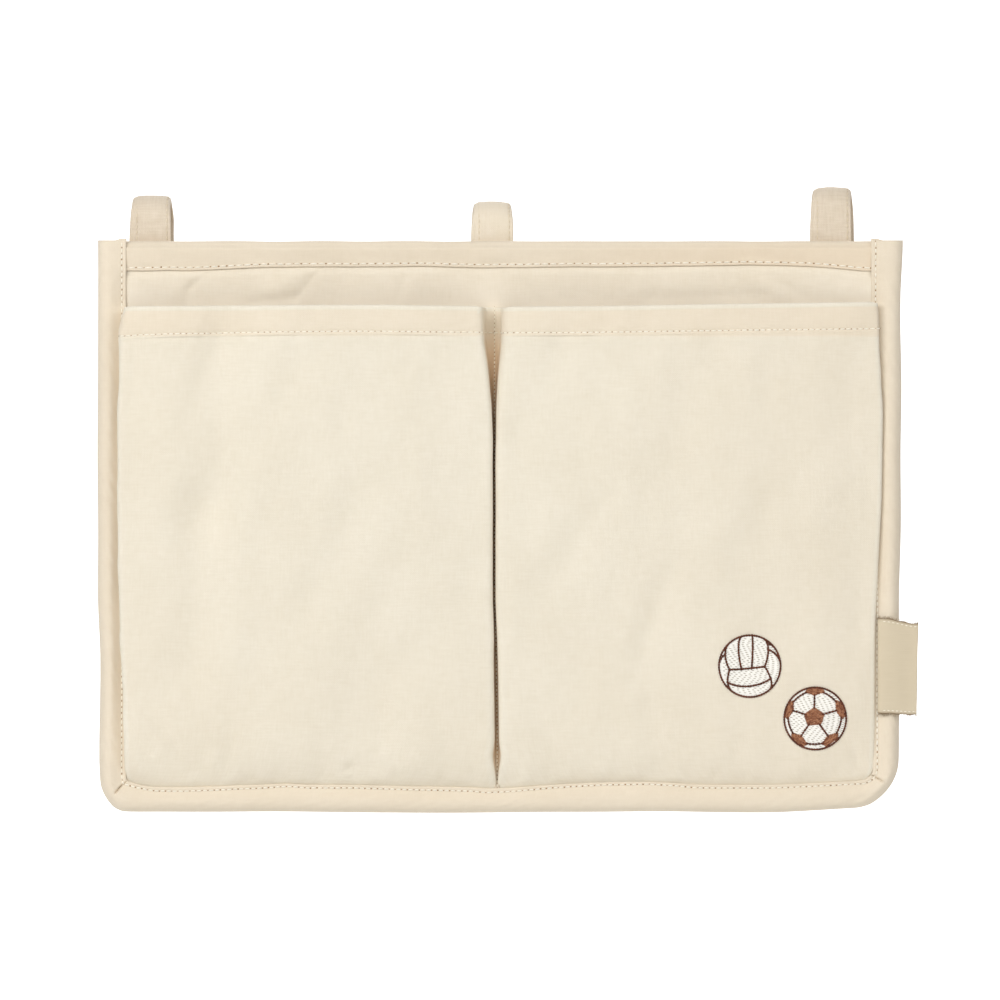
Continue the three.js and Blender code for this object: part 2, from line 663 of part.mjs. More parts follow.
/** A piece of tape with rounded corners, standing in the XZ plane with its rear face at a depth. */
function tapePatch(x, rearY, thick) {
  const [halfWidth, halfLength, radius] = [TAPE_WIDTH / 2, TAPE_LENGTH / 2, TAPE_ROUND];
  const shape = new THREE.Shape();
  const corners = [[1, 1], [-1, 1], [-1, -1], [1, -1]];
  corners.forEach(([across, up], quarter) => {
    const start = (quarter * Math.PI) / 2;
    shape.absarc(across * (halfWidth - radius), up * (halfLength - radius), radius, start, start + Math.PI / 2, false);
  });
  shape.closePath();
  const geometry = new THREE.ExtrudeGeometry(shape, { depth: thick, bevelEnabled: false, curveSegments: TAPE_ROUND_STEPS });
  geometry.rotateX(Math.PI / 2);
  geometry.translate(x, rearY, topZ - TAPE_DROP - halfLength);
  return geometry;
}

for (const { side, x, stands, skew } of straps) {
  const crestCentreZ = topZ + stands - RAIL_RADIUS - STRAP_THICK;
  const halfJointAngle = SEWN_GAP / 2 / strapRadius;
  const at = (shift, y, z) => new THREE.Vector3(x + shift, y, z);

  const sewnStart = at(0, -strapRadius, topZ - STRAP_SEWN);
  const standing = new THREE.LineCurve3(sewnStart, at(0, -strapRadius, crestCentreZ));
  const frontArc = new RailArc(x, crestCentreZ, strapRadius, Math.PI, Math.PI / 2 + halfJointAngle);
  addPiece(
    caddy, `strap_${side}_base`,
    ribbon(sampled([[standing, 1], [frontArc, ARC_STEPS]]), acrossStrap, STRAP_WIDTH, STRAP_THICK, STRAP_EDGE),
    strapCotton,
  );

  const tapeTopZ = topZ - TAPE_DROP;
  const tapeEndZ = tapeTopZ - TAPE_LENGTH - FLAP_PAST_TAPE;
  const rearArc = new RailArc(x, crestCentreZ, strapRadius, Math.PI / 2 - halfJointAngle, 0);
  const slope = new THREE.CubicBezierCurve3(
    at(0, strapRadius, crestCentreZ), at(0, strapRadius, crestCentreZ - SLOPE_PULL),
    at(skew, flapY, tapeTopZ + SLOPE_PULL), at(skew, flapY, tapeTopZ),
  );
  const closed = new THREE.LineCurve3(at(skew, flapY, tapeTopZ), at(skew, flapY, tapeEndZ));
  const flap = new THREE.Group();
  addPiece(
    flap, `strap_${side}_flap`,
    ribbon(
      sampled([[rearArc, ARC_STEPS], [slope, SLOPE_STEPS], [closed, 1]]),
      acrossStrap, STRAP_WIDTH, STRAP_THICK, STRAP_EDGE,
    ),
    strapCotton,
  );
  addPiece(flap, `strap_${side}_hook_tape`, tapePatch(x + skew, hookBackY, HOOK_TAPE), tape);
  caddy.add(flap);
  addPiece(caddy, `strap_${side}_loop_tape`, tapePatch(x + skew, backY + SEWN_GAP + LOOP_TAPE, LOOP_TAPE), tape);
}

export default caddy;
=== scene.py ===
"""The bedside caddy as it looks: cotton, stuffing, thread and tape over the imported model.

Shapes are worked out in millimetres and become metres when a mesh is made. +X is to the right, +Y is
away from the pockets, +Z is up, and the origin is on the rail's axis at the centre strap.
"""

import logging
import math
from dataclasses import dataclass
from enum import Enum
from functools import cached_property
from typing import Any, Iterable, Sequence

import bpy
import numpy as np
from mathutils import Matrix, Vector
from mathutils.bvhtree import BVHTree


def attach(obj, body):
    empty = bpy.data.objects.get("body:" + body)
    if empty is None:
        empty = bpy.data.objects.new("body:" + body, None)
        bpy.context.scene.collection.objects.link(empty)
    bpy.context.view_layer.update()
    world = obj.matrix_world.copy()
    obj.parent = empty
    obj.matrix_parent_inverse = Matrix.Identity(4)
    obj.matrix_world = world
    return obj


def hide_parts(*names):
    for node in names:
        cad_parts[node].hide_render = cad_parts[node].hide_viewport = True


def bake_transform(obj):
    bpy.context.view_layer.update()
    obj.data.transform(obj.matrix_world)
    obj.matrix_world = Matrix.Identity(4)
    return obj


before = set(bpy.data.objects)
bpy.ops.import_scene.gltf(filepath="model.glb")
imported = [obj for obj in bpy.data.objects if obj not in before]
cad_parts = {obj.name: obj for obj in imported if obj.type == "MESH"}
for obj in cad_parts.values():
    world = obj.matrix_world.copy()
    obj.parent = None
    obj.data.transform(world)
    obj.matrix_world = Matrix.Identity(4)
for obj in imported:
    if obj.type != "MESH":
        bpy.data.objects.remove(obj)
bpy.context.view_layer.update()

LOG = logging.getLogger("caddy")
MM = 0.001
ROOT = "caddy"

Array = np.ndarray
Values = dict[str | int, Any]


# Small mathematics


def smooth(value: Array | float, low: float, high: float) -> Array:
    """A smooth step from 0 at low to 1 at high.

    Args:
        value: Where to look.
        low: The value that gives 0.
        high: The value that gives 1.

    Returns:
        The step's height at each value.
    """
    share = np.clip((np.asarray(value, float) - low) / (high - low), 0, 1)
    return share * share * (3 - 2 * share)


def mix(a: Any, b: Any, share: Any) -> Any:
    """The point at a share of the way from a to b."""
    return a + (b - a) * share


def hump(value: Array, centre: float, width: float) -> Array:
    """A bell of height 1 round a centre."""
    return np.exp(-(((value - centre) / width) ** 2))


def spread(*stops: tuple[float, float]) -> Array:
    """Values from stop to stop, with the spacing that each stop after the first asks for.

    Args:
        *stops: Pairs of a value and the spacing used on the way to it.

    Returns:
        The rising or falling values, both ends included.
    """
    values = [stops[0][0]]
    for target, spacing in stops[1:]:
        steps = max(1, round(abs(target - values[-1]) / spacing))
        values.extend(np.linspace(values[-1], target, steps + 1)[1:])
    return np.array(values)


def unit(vectors: Array) -> Array:
    """The vectors at length 1."""
    return vectors / np.maximum(np.linalg.norm(vectors, axis=-1, keepdims=True), 1e-12)


def joined(*parts: Any) -> Array:
    """Points from their coordinates, which broadcast together."""
    return np.stack(np.broadcast_arrays(*parts), -1)


def lengths(points: Array) -> Array:
    """Distances along paths, each from its first point."""
    steps = np.linalg.norm(np.diff(points, axis=-2), axis=-1)
    return np.concatenate([0 * steps[..., :1], np.cumsum(steps, axis=-1)], axis=-1)


def cubic(a: Any, b: Any, c: Any, d: Any, count: int) -> Array:
    """Points of the cubic curve from a to d that b and c pull on."""
    t = np.linspace(0, 1, count)[:, None]
    a, b, c, d = map(np.array, (a, b, c, d))
    return (1 - t) ** 3 * a + 3 * (1 - t) ** 2 * t * b + 3 * (1 - t) * t * t * c + t**3 * d


def stretches(wanted: Array) -> list[Array]:
    """The numbers of each unbroken stretch of wanted points."""
    runs = np.split(np.arange(len(wanted)), np.flatnonzero(np.diff(wanted.astype(int))) + 1)
    return [run for run in runs if wanted[run[0]]]


def faced(path: Array, y: float) -> tuple[Array, Array]:
    """A path with the normals of a surface that looks forward (-1) or back (1)."""
    return path, np.tile([0.0, y, 0.0], (len(path), 1))


class Ripples:
    """Irregular waves: a seeded sum of cosines, about -1 to 1."""

    def __init__(
        self, seed: int, length: float, angle: float = 0.0, fan: float = math.pi, count: int = 9
    ) -> None:
        """Draws the waves.

        Args:
            seed: The seed of the draw.
            length: The mean wavelength in millimetres.
            angle: The mean direction in which the waves run.
            fan: How far their directions spread from it.
            count: How many waves are added up.
        """
        draw = np.random.default_rng(seed)
        angles = angle + draw.uniform(-fan, fan, count)
        numbers = 2 * math.pi / (length * draw.uniform(0.6, 1.6, count))
        self.across = numbers * np.cos(angles)
        self.along = numbers * np.sin(angles)
        self.phases = draw.uniform(0, 2 * math.pi, count)

    def __call__(self, x: Array, z: Array | float = 0.0) -> Array:
        """The height of the waves at a place."""
        x, z = np.broadcast_arrays(np.asarray(x, float), np.asarray(z, float))
        waves = np.cos(x[..., None] * self.across + z[..., None] * self.along + self.phases)
        return waves.sum(-1) / math.sqrt(2 * len(self.phases))


@dataclass(frozen=True)
class Fold:
    """A fold in a cloth: a hollow along a line, or a ridge where depth is below 0."""

    start: tuple[float, float]
    end: tuple[float, float]
    width: float
    depth: float
    crisp: float = 2.0

    @classmethod
    def table(cls, *rows: tuple[float, ...]) -> "tuple[Fold, ...]":
        """Folds from rows of a start, an end, a width, a depth and, where it isn't 2, a crispness."""
        return tuple(cls(row[:2], row[2:4], *row[4:]) for row in rows)

    def sink(self, x: Array, z: Array) -> Array:
        """How deep the fold is at a place.

        Args:
            x: Places across.
            z: Places up.

        Returns:
            The depth in millimetres.
        """
        (ax, az), (bx, bz) = self.start, self.end
        dx, dz = bx - ax, bz - az
        share = np.clip(((x - ax) * dx + (z - az) * dz) / (dx * dx + dz * dz), 0, 1)
        distance = np.hypot(x - ax - share * dx, z - az - share * dz)
        return self.depth * np.exp(-((distance / self.width) ** self.crisp))


def sink_of(folds: Iterable[Fold], x: Array, z: Array) -> Array:
    """The depth of several folds together."""
    return sum((fold.sink(x, z) for fold in folds), np.zeros(np.broadcast(x, z).shape))


# Node trees


class Wire:
    """A node's output that Python sums can use."""

    def __init__(self, graph: "Graph", socket: bpy.types.NodeSocket) -> None:
        """Keeps the socket and the tree that it is in."""
        self.graph = graph
        self.socket = socket

    def math(self, operation: str, *others: Any) -> "Wire":
        """A Math node with this value first."""
        return self.graph.math(operation, self, *others)

    def __add__(self, other: Any) -> "Wire":
        """The sum."""
        return self.math("ADD", other)

    __radd__ = __add__

    def __mul__(self, other: Any) -> "Wire":
        """The product."""
        return self.math("MULTIPLY", other)

    __rmul__ = __mul__

    def __sub__(self, other: Any) -> "Wire":
        """The difference."""
        return self.math("SUBTRACT", other)

    def __rsub__(self, other: Any) -> "Wire":
        """The reflected difference."""
        return self.graph.math("SUBTRACT", other, self)

    def __truediv__(self, other: Any) -> "Wire":
        """The quotient."""
        return self.math("DIVIDE", other)

    def __pow__(self, other: Any) -> "Wire":
        """The power."""
        return self.math("POWER", other)

    def __gt__(self, other: Any) -> "Wire":
        """1 where this is greater."""
        return self.math("GREATER_THAN", other)

    def clamp(self) -> "Wire":
        """The value kept between 0 and 1."""
        return self.graph.wire("ShaderNodeClamp", values={"Value": self})


class Graph:
    """A node tree under construction."""

    def __init__(self, tree: bpy.types.NodeTree) -> None:
        """Keeps the tree."""
        self.tree = tree

    def node(
        self, kind: str, settings: Values | None = None, values: Values | None = None
    ) -> bpy.types.Node:
        """Adds a node.

        Args:
            kind: The node's type.
            settings: Its properties, set first.
            values: Its inputs by name or number, each a value or a wire.

        Returns:
            The node.
        """
        made = self.tree.nodes.new(kind)
        for key, value in (settings or {}).items():
            setattr(made, key, value)
        for key, value in (values or {}).items():
            if isinstance(value, Wire):
                self.tree.links.new(value.socket, made.inputs[key])
            else:
                made.inputs[key].default_value = value
        return made

    def wire(
        self, kind: str, output: str | int = 0, settings: Values | None = None, values: Values | None = None
    ) -> Wire:
        """Adds a node and gives one of its outputs."""
        return Wire(self, self.node(kind, settings, values).outputs[output])

    def math(self, operation: str, *values: Any) -> Wire:
        """Adds a Math node."""
        return self.wire("ShaderNodeMath", 0, {"operation": operation}, dict(enumerate(values)))

    def vector(self, x: Any = 0.0, y: Any = 0.0, z: Any = 0.0) -> Wire:
        """A vector of three values."""
        return self.wire("ShaderNodeCombineXYZ", values={0: x, 1: y, 2: z})

    def split(self, vector: Wire) -> list[Wire]:
        """The three values of a vector."""
        return [Wire(self, s) for s in self.node("ShaderNodeSeparateXYZ", values={0: vector}).outputs]

    def place(self) -> Wire:
        """Where the point is on the object."""
        return self.wire("ShaderNodeTexCoord", "Object")

    def yarns(self, yarn: float) -> tuple[Wire, Wire, Wire]:
        """The UV map, and its two values counted in yarns."""
        uv = self.wire("ShaderNodeUVMap", settings={"uv_map": "UVMap"})
        u, v, _ = self.split(uv)
        return uv, u * (1000 / yarn), v * (1000 / yarn)

    def attribute(self, name: str) -> Wire:
        """A number that the mesh carries."""
        return self.wire("ShaderNodeAttribute", "Fac", {"attribute_name": name})

    def noise(self, place: Wire, scale: float, detail: float = 2.0, rough: float = 0.5) -> Wire:
        """Noise of about 0 to 1 at a place."""
        values = {"Vector": place, "Scale": scale, "Detail": detail, "Roughness": rough}
        return self.wire("ShaderNodeTexNoise", "Fac", values=values)

    def blend(self, share: Any, a: Any, b: Any) -> Wire:
        """A colour between two colours."""
        settings = {"data_type": "RGBA", "clamp_factor": True}
        return self.wire("ShaderNodeMix", 2, settings, {0: share, 6: a, 7: b})

    def surface(
        self, colour: Any, rough: Any, bump: tuple[float, float, Wire], sheen: float, shine: float,
        more: Values | None = None,
    ) -> Wire:
        """A principled surface with a bump.

        Args:
            colour: Its base colour.
            rough: Its roughness.
            bump: The bump's strength, its depth in metres and its height.
            sheen: The sheen's weight.
            shine: The specular level.
            more: Further inputs by name.

        Returns:
            The shader.
        """
        normal = self.wire("ShaderNodeBump", values=dict(zip(("Strength", "Distance", "Height"), bump)))
        values = {"Base Color": colour, "Roughness": rough, "Normal": normal}
        values |= {"Sheen Weight": sheen, "Specular IOR Level": shine} | (more or {})
        return self.wire("ShaderNodeBsdfPrincipled", values=values)


def linear(colour: str) -> tuple[float, float, float, float]:
    """A screen colour such as f0e8d8 as linear light."""
    parts = [int(colour[i : i + 2], 16) / 255 for i in (0, 2, 4)]
    light = [p / 12.92 if p <= 0.04045 else ((p + 0.055) / 1.055) ** 2.4 for p in parts]
    return (*light, 1.0)


@dataclass(frozen=True)
class Finish:
    """Base of the finishes: each makes its material once."""

    name: str
    colour: str

    @cached_property
    def material(self) -> bpy.types.Material:
        """The finish as a material."""
        made = bpy.data.materials.new(self.name)
        made.use_nodes = True
        made.node_tree.nodes.clear()
        graph = Graph(made.node_tree)
        graph.node("ShaderNodeOutputMaterial", values={"Surface": self.shade(graph)})
        return made

    def shade(self, graph: Graph) -> Wire:
        """The surface shader."""
        raise NotImplementedError


@dataclass(frozen=True)
class Fabric(Finish):
    """Base of the caddy's own finishes, whose colour wanders towards a second one."""

    shade_colour: str
    slot: str = "pocket_cotton"

    def dyed(self, graph: Graph, tone: Wire) -> Wire:
        """The colour at a tone of 0 to 1."""
        return graph.blend(tone.clamp(), linear(self.colour), linear(self.shade_colour))

    def dress(
        self, made: bpy.types.Object, body: str | None = ROOT, stands_for: Sequence[str] = ()
    ) -> None:
        """Finishes an object: it gets its material, rides on a body and stands for its nodes.

        Args:
            made: The object.
            body: The body that it rides on, or None to leave it on no body.
            stands_for: The nodes that it replaces.
        """
        if not made.data.materials:
            made.data.materials.append(self.material)
        if body:
            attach(made, body)
        if stands_for:
            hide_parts(*stands_for)
        LOG.info("%s: %d faces", made.name, len(made.data.polygons))


@dataclass(frozen=True)
class Cloth(Fabric):
    """Plain-woven cotton, drawn on a UV map in metres."""

    yarn: float = 0.52
    streaks: float = 0.3
    mottle: float = 0.45
    relief: float = 0.3
    sheen: float = 0.25
    # The colour that painted shade blends towards in pleats, recesses and other shaded places.
    painted_shade_colour: str = "e5ccac"

    def shade(self, graph: Graph) -> Wire:
        """Crossing yarns with slubs, a little unevenness in the dye, and painted light and shade.

        Args:
            graph: The material's tree.

        Returns:
            The shader.
        """
        uv, u, v = graph.yarns(self.yarn)
        weave = graph.math("SINE", u * math.pi) * graph.math("SINE", v * math.pi)
        warp = graph.noise(graph.vector(u * 0.55, v * 0.05), 1.0, 2.0, 0.6)
        weft = graph.noise(graph.vector(u * 0.05, v * 0.55, 7.0), 1.0, 2.0, 0.6)
        cloudy = graph.noise(uv, 21.0, 4.0, 0.6)
        soft = graph.noise(uv, 260.0, 3.0, 0.6)
        grain = graph.noise(uv, 1500.0, 2.0, 0.7)
        # wear_and_painted_light above 0 lightens the tone: worn edges, and painted light on the panel. Below
        # 0 it is painted shade, blending towards painted_shade_colour.
        wear_and_painted_light = graph.attribute("wear_and_painted_light")
        slubs = (warp + weft - 1.0) * 2.2 * self.streaks
        blotches = (cloudy - 0.5) * 2 * self.mottle + (soft - 0.5) * 1.1 * self.mottle
        tone = 0.5 + slubs + blotches + (grain - 0.5) * 0.3 + weave * 0.05 - wear_and_painted_light.clamp() * 0.5
        colour = graph.blend((0.0 - wear_and_painted_light).clamp(), self.dyed(graph, tone), linear(self.painted_shade_colour))
        bump = (self.relief, 0.25 * self.yarn * MM, weave * 0.5 + slubs * 0.8 + (grain - 0.5) * 0.5)
        rough = (0.86 + (warp - 0.5) * 0.2).clamp()
        return graph.surface(colour, rough, bump, self.sheen, 0.25, {"Sheen Roughness": 0.55})


@dataclass(frozen=True)
class Thread(Fabric):
    """Spun thread: plied, with a soft gloss."""

    gloss: float = 0.6
    relief: float = 0.35
    sheen: float = 0.15
    vary: float = 0.12
    # How strongly painted shade darkens each stitch's ends.
    dip: float = 0.0
    ply: float = 0.00042

    def shade(self, graph: Graph) -> Wire:
        """Fine twisted plies, each stitch in its own tone, with painted shade darkening its ends where it
        dips into the cloth.

        Args:
            graph: The material's tree.

        Returns:
            The shader.
        """
        place = graph.place()
        x, y, z = graph.split(place)
        plies = graph.math("SINE", (x + z * 0.8 + y * 0.5) * (2 * math.pi / self.ply))
        uneven = graph.noise(place, 1300.0, 2.0)
        own, end = graph.attribute("own_tone"), graph.attribute("end")
        colour = self.dyed(graph, plies * 0.22 + uneven + own * self.vary)
        # Painted shade: each stitch darkens towards its ends, where it dips into the cloth.
        colour = graph.blend((end**3.0 * self.dip).clamp(), colour, linear("22120c"))
        rough = (self.gloss + uneven * 0.15).clamp()
        return graph.surface(colour, rough, (self.relief, 0.0001, plies), self.sheen, 0.25)


@dataclass(frozen=True)
class Fibre(Fabric):
    """Matted fibre: wadding, filling, and the faces of hook and loop tape."""

    scale: float = 700.0
    relief: float = 0.6

    def shade(self, graph: Graph) -> Wire:
        """Tangled fibre in a soft colour.

        Args:
            graph: The material's tree.

        Returns:
            The shader.
        """
        place = graph.place()
        tangle = graph.noise(place, self.scale, 5.0, 0.7)
        lumps = graph.noise(place, self.scale / 12, 2.0)
        colour = self.dyed(graph, (tangle - 0.5) * 1.6 + lumps)
        bump = (self.relief, 0.0004, tangle + lumps * 0.5)
        return graph.surface(colour, (0.8 + tangle * 0.2).clamp(), bump, 0.4, 0.2)


@dataclass(frozen=True)
class Satin(Fabric):
    """A ribbon woven with a fine warp-faced satin, drawn on a UV map in metres."""

    yarn: float = 0.21

    def shade(self, graph: Graph) -> Wire:
        """Fine floats across the ribbon, darker where the cut edges have singed.

        Args:
            graph: The material's tree.

        Returns:
            The shader.
        """
        _, u, v = graph.yarns(self.yarn)
        floats = graph.math("SINE", v * (2 * math.pi)) * 0.5 + 0.5
        tied = (graph.math("SINE", u * 0.35 + graph.math("FLOOR", v) * 2.4) * 0.5 + 0.5) ** 6.0
        uneven = graph.noise(graph.vector(u * 0.02, v * 0.6), 1.0, 3.0)
        colour = self.dyed(graph, floats * 0.25 + tied * 0.3 + uneven * 0.6 - 0.1)
        singed = (graph.attribute("wear_and_painted_light") * (0.6 + uneven)).clamp()
        colour = graph.blend(singed, colour, linear("7d6547"))
        bump = (0.3, 0.3 * self.yarn * MM, floats * 0.5 - tied * 0.4 + uneven * 0.3)
        return graph.surface(colour, (0.5 + uneven * 0.2).clamp(), bump, 0.1, 0.4)


@dataclass(frozen=True)
class Paper(Finish):
    """The studio's seamless white paper."""

    glow: float

    def shade(self, graph: Graph) -> Wire:
        """Matt white that is lit a little from within.

        Args:
            graph: The material's tree.

        Returns:
            The shader.
        """
        bump = (0.05, 0.0005, graph.noise(graph.place(), 300.0, 3.0))
        glow = {"Emission Color": (1.0, 1.0, 1.0, 1.0), "Emission Strength": self.glow}
        return graph.surface(linear(self.colour), 0.95, bump, 0.0, 0.1, glow)


POCKET_CLOTH = Cloth("pocket cotton", "ede6d6", "e1d8c4")
# The panel's cotton is the pocket's; its slightly paler colour is painted light against the shade above the
# pockets.
PANEL_CLOTH = Cloth("panel cotton", "f1e7d5", "e6dac4", "panel_cotton")
BINDING_CLOTH = Cloth("binding cotton", "ece0cc", "e1d3bc", "binding_cotton", yarn=0.5, streaks=0.16)
# One strap cotton in two copies: the centre strap's paler copy is painted light, for the way light falls on
# its flatter loop.
STRAP_CLOTH = Cloth("strap cotton", "e3d6c3", "d5c6b0", "strap_cotton", yarn=0.55, streaks=0.6, relief=0.5)
PAINTED_LIGHT_STRAP_CLOTH = Cloth("strap cotton painted lighter", "ede2d0", "e1d4bd", "strap_cotton", yarn=0.55, relief=0.4)
SEAM_THREAD = Thread("seam thread", "fffbf0", "f5ebd6", "binding_cotton")
STRAP_THREAD = Thread("strap thread", "efe3cc", "d9c9aa", "strap_cotton")
LABEL_THREAD = Thread("label yarn", "b9a583", "8d7654", "label_cotton")
WHITE_THREAD = Thread("embroidery white", "fffefa", "f6f2e8", gloss=0.5, relief=0.12)
# The brown threads' dip darkens their stitches' ends with painted shade.
BROWN_THREAD = Thread("embroidery brown", "744330", "48271a", gloss=0.7, sheen=0.0, vary=0.35, dip=0.9)
PANEL_THREAD = Thread(
    "embroidery light brown", "b88260", "744430", gloss=0.7, relief=0.3, sheen=0.0, vary=0.55, dip=0.25
)
# Painted shade: dark dots of thread that stand for the needle's holes, in shade beside the stitches.
NEEDLE_HOLE_SHADE = Thread("needle hole painted shade", "b08f66", "8a6a45", "binding_cotton", gloss=0.9, relief=0.1, sheen=0.0)
# Painted shade: grey thread marks between the white rows, standing for the dimples that lie in shade.
PAINTED_DIMPLE_SHADE = Thread("embroidery dimple shade", "c6c0b4", "aca494", gloss=0.8, relief=0.1, sheen=0.0)
STUFFING = Fibre("stuffing", "fbf8f2", "e9e4da", "filling", scale=500.0)
TAPE = Fibre("hook and loop tape", "efe6d4", "d6c8ac", "hook_and_loop", scale=1500.0)
RIBBON = Satin("label ribbon", "dccfb7", "c6b798", "label_cotton")


# Meshes


def placed(name: str, data: bpy.types.ID) -> bpy.types.Object:
    """A new object with its data, linked into the scene."""
    made = bpy.data.objects.new(name, data)
    bpy.context.collection.objects.link(made)
    return made


def make_object(name: str, points: Array, faces: Array, uv: Array, wear_and_painted_light: Array) -> bpy.types.Object:
    """A mesh object from millimetres, its faces turned outwards if it is closed.

    Args:
        name: The object's name.
        points: Its points, one row each.
        faces: Its faces, each with the same number of corners.
        uv: A place on the flat cloth in millimetres for each point.
        wear_and_painted_light: How worn or singed the surface is at each point, and the painted light and
            shade on it.

    Returns:
        The object, in the scene and at the origin.
    """
    centred = points - points.mean(0)
    a, b, c = (centred[faces[:, i]] for i in (0, 1, 2))
    volume = np.einsum("ij,ij->i", a, np.cross(b, c)).sum()
    if faces.shape[1] == 4:
        d = centred[faces[:, 3]]
        volume += np.einsum("ij,ij->i", a, np.cross(c, d)).sum()
    if volume < 0:
        faces = faces[:, ::-1]
    mesh = bpy.data.meshes.new(name)
    mesh.vertices.add(len(points))
    mesh.vertices.foreach_set("co", (points * MM).astype(np.float32).ravel())
    mesh.loops.add(faces.size)
    mesh.loops.foreach_set("vertex_index", faces.astype(np.int32).ravel())
    mesh.polygons.add(len(faces))
    starts = np.arange(len(faces), dtype=np.int32) * faces.shape[1]
    mesh.polygons.foreach_set("loop_start", starts)
    mesh.polygons.foreach_set("use_smooth", np.ones(len(faces), bool))
    mesh.update(calc_edges=True)
    layer = mesh.uv_layers.new(name="UVMap")
    layer.data.foreach_set("uv", (uv[faces.ravel()] * MM).astype(np.float32).ravel())
    layer = mesh.attributes.new("wear_and_painted_light", "FLOAT", "POINT")
    layer.data.foreach_set("value", wear_and_painted_light.astype(np.float32).ravel())
    mesh.validate()
    return placed(name, mesh)


@dataclass
class Skin:
    """A grid of points on a surface, with the cloth's own coordinates."""

    points: Array
    uv: Array

    @cached_property
    def normals(self) -> Array:
        """Unit normals from the neighbours along rows and columns."""
        return unit(np.cross(np.gradient(self.points, axis=1), np.gradient(self.points, axis=0)))

    def moved(self, distance: Array | float) -> Array:
        """The points moved along their normals."""
        return self.points + self.normals * np.asarray(distance, float)[..., None]


def grid_faces(rows: int, columns: int, start: int = 0) -> Array:
    """The four-cornered faces of a grid of points."""
    base = start + np.arange(rows - 1)[:, None] * columns + np.arange(columns - 1)
    return joined(base, base + 1, base + columns + 1, base + columns).reshape(-1, 4)


def closed_sheet(name: str, near: Array, far: Array, uv: Array, wear_and_painted_light: Array) -> bpy.types.Object:
    """A sheet with two faces, closed round its rim.

    Args:
        name: The object's name.
        near: The grid of points of one face.
        far: The grid of points of the other face.
        uv: The cloth's coordinates, shared by both faces.
        wear_and_painted_light: The worn edges and the painted light and shade, shared by both faces.

    Returns:
        The object.
    """
    rows, columns = near.shape[:2]
    count = rows * columns
    index = np.arange(count).reshape(rows, columns)
    rim = np.concatenate([index[0], index[1:, -1], index[-1, -2::-1], index[-2:0:-1, 0]])
    after = np.roll(rim, -1)
    wall = joined(after, rim, rim + count, after + count)
    faces = [grid_faces(rows, columns), grid_faces(rows, columns, count)[:, ::-1], wall]
    points = np.concatenate([near.reshape(-1, 3), far.reshape(-1, 3)])
    uv = np.tile(uv.reshape(-1, 2), (2, 1))
    return make_object(name, points, np.concatenate(faces), uv, np.tile(wear_and_painted_light.ravel(), 2))


def closed_roll(name: str, rings: Array, uv: Array, wear_and_painted_light: Array) -> bpy.types.Object:
    """A body over closed rings of points, capped at its first and last ring.

    Args:
        name: The object's name.
        rings: The rings, each a row of points.
        uv: The cloth's coordinates.
        wear_and_painted_light: The worn edges and the painted light and shade.

    Returns:
        The object.
    """
    count, size = rings.shape[:2]
    base = np.arange(count - 1)[:, None] * size + np.arange(size)
    turned = np.arange(count - 1)[:, None] * size + (np.arange(size) + 1) % size
    sides = joined(base, turned, turned + size, base + size).reshape(-1, 4)
    low = np.arange(size // 2 - 1)
    cap = joined(low, size - 1 - low, size - 2 - low, low + 1)
    faces = np.concatenate([sides, cap, cap[:, ::-1] + (count - 1) * size])
    return make_object(name, rings.reshape(-1, 3), faces, uv.reshape(-1, 2), wear_and_painted_light.ravel())


# Geometry Nodes: stitches along seams and tapes along paths


FLOAT, MATERIAL = "NodeSocketFloat", "NodeSocketMaterial"
Paths = Sequence[tuple[Array, Array]]


class Tree:
    """A Geometry Nodes tree that grows something on paths."""

    TITLE: str
    INPUTS: dict[str, str]

    @cached_property
    def group(self) -> bpy.types.NodeTree:
        """The tree with its named inputs, built once."""
        made = bpy.data.node_groups.new(self.TITLE, "GeometryNodeTree")
        for way in ("INPUT", "OUTPUT"):
            made.interface.new_socket("Geometry", in_out=way, socket_type="NodeSocketGeometry")
        for name, kind in self.INPUTS.items():
            made.interface.new_socket(name, in_out="INPUT", socket_type=kind)
        g = Graph(made)
        given = {s.name: Wire(g, s) for s in g.node("NodeGroupInput").outputs if s.name}
        line = g.wire("GeometryNodeMeshToCurve", values={0: given["Geometry"]})
        g.node("NodeGroupOutput", values={0: self.nodes(g, given, line)})
        return made

    def nodes(self, g: Graph, given: dict[str, Wire], line: Wire) -> Wire:
        """The nodes from the paths to what grows on them."""
        raise NotImplementedError

    def grow(self, name: str, paths: Paths, inputs: Values) -> bpy.types.Object:
        """Runs the tree on paths and keeps the plain mesh that comes out.

        Args:
            name: The object's name.
            paths: Paths in millimetres, each with the surface's normals along it.
            inputs: The tree's inputs by name, lengths in metres.

        Returns:
            The object.
        """
        points = np.concatenate([p for p, _ in paths])
        facing = np.concatenate([n for _, n in paths])
        edges, start = [], 0
        for path, _ in paths:
            run = np.arange(start, start + len(path) - 1)
            edges.append(joined(run, run + 1))
            start += len(path)
        source = bpy.data.meshes.new(name + " path")
        source.from_pydata(points * MM, np.concatenate(edges).tolist(), [])
        layer = source.attributes.new("facing", "FLOAT_VECTOR", "POINT")
        layer.data.foreach_set("vector", facing.astype(np.float32).ravel())
        carrier = placed(name + " carrier", source)
        modifier = carrier.modifiers.new("grow", "NODES")
        modifier.node_group = self.group
        sockets = {s.name: s.identifier for s in self.group.interface.items_tree if s.in_out == "INPUT"}
        for key, value in inputs.items():
            modifier[sockets[key]] = value
        depsgraph = bpy.context.evaluated_depsgraph_get()
        mesh = bpy.data.meshes.new_from_object(carrier.evaluated_get(depsgraph))
        carrier.modifiers.remove(modifier)
        bpy.data.objects.remove(carrier)
        mesh.name = name
        return placed(name, mesh)


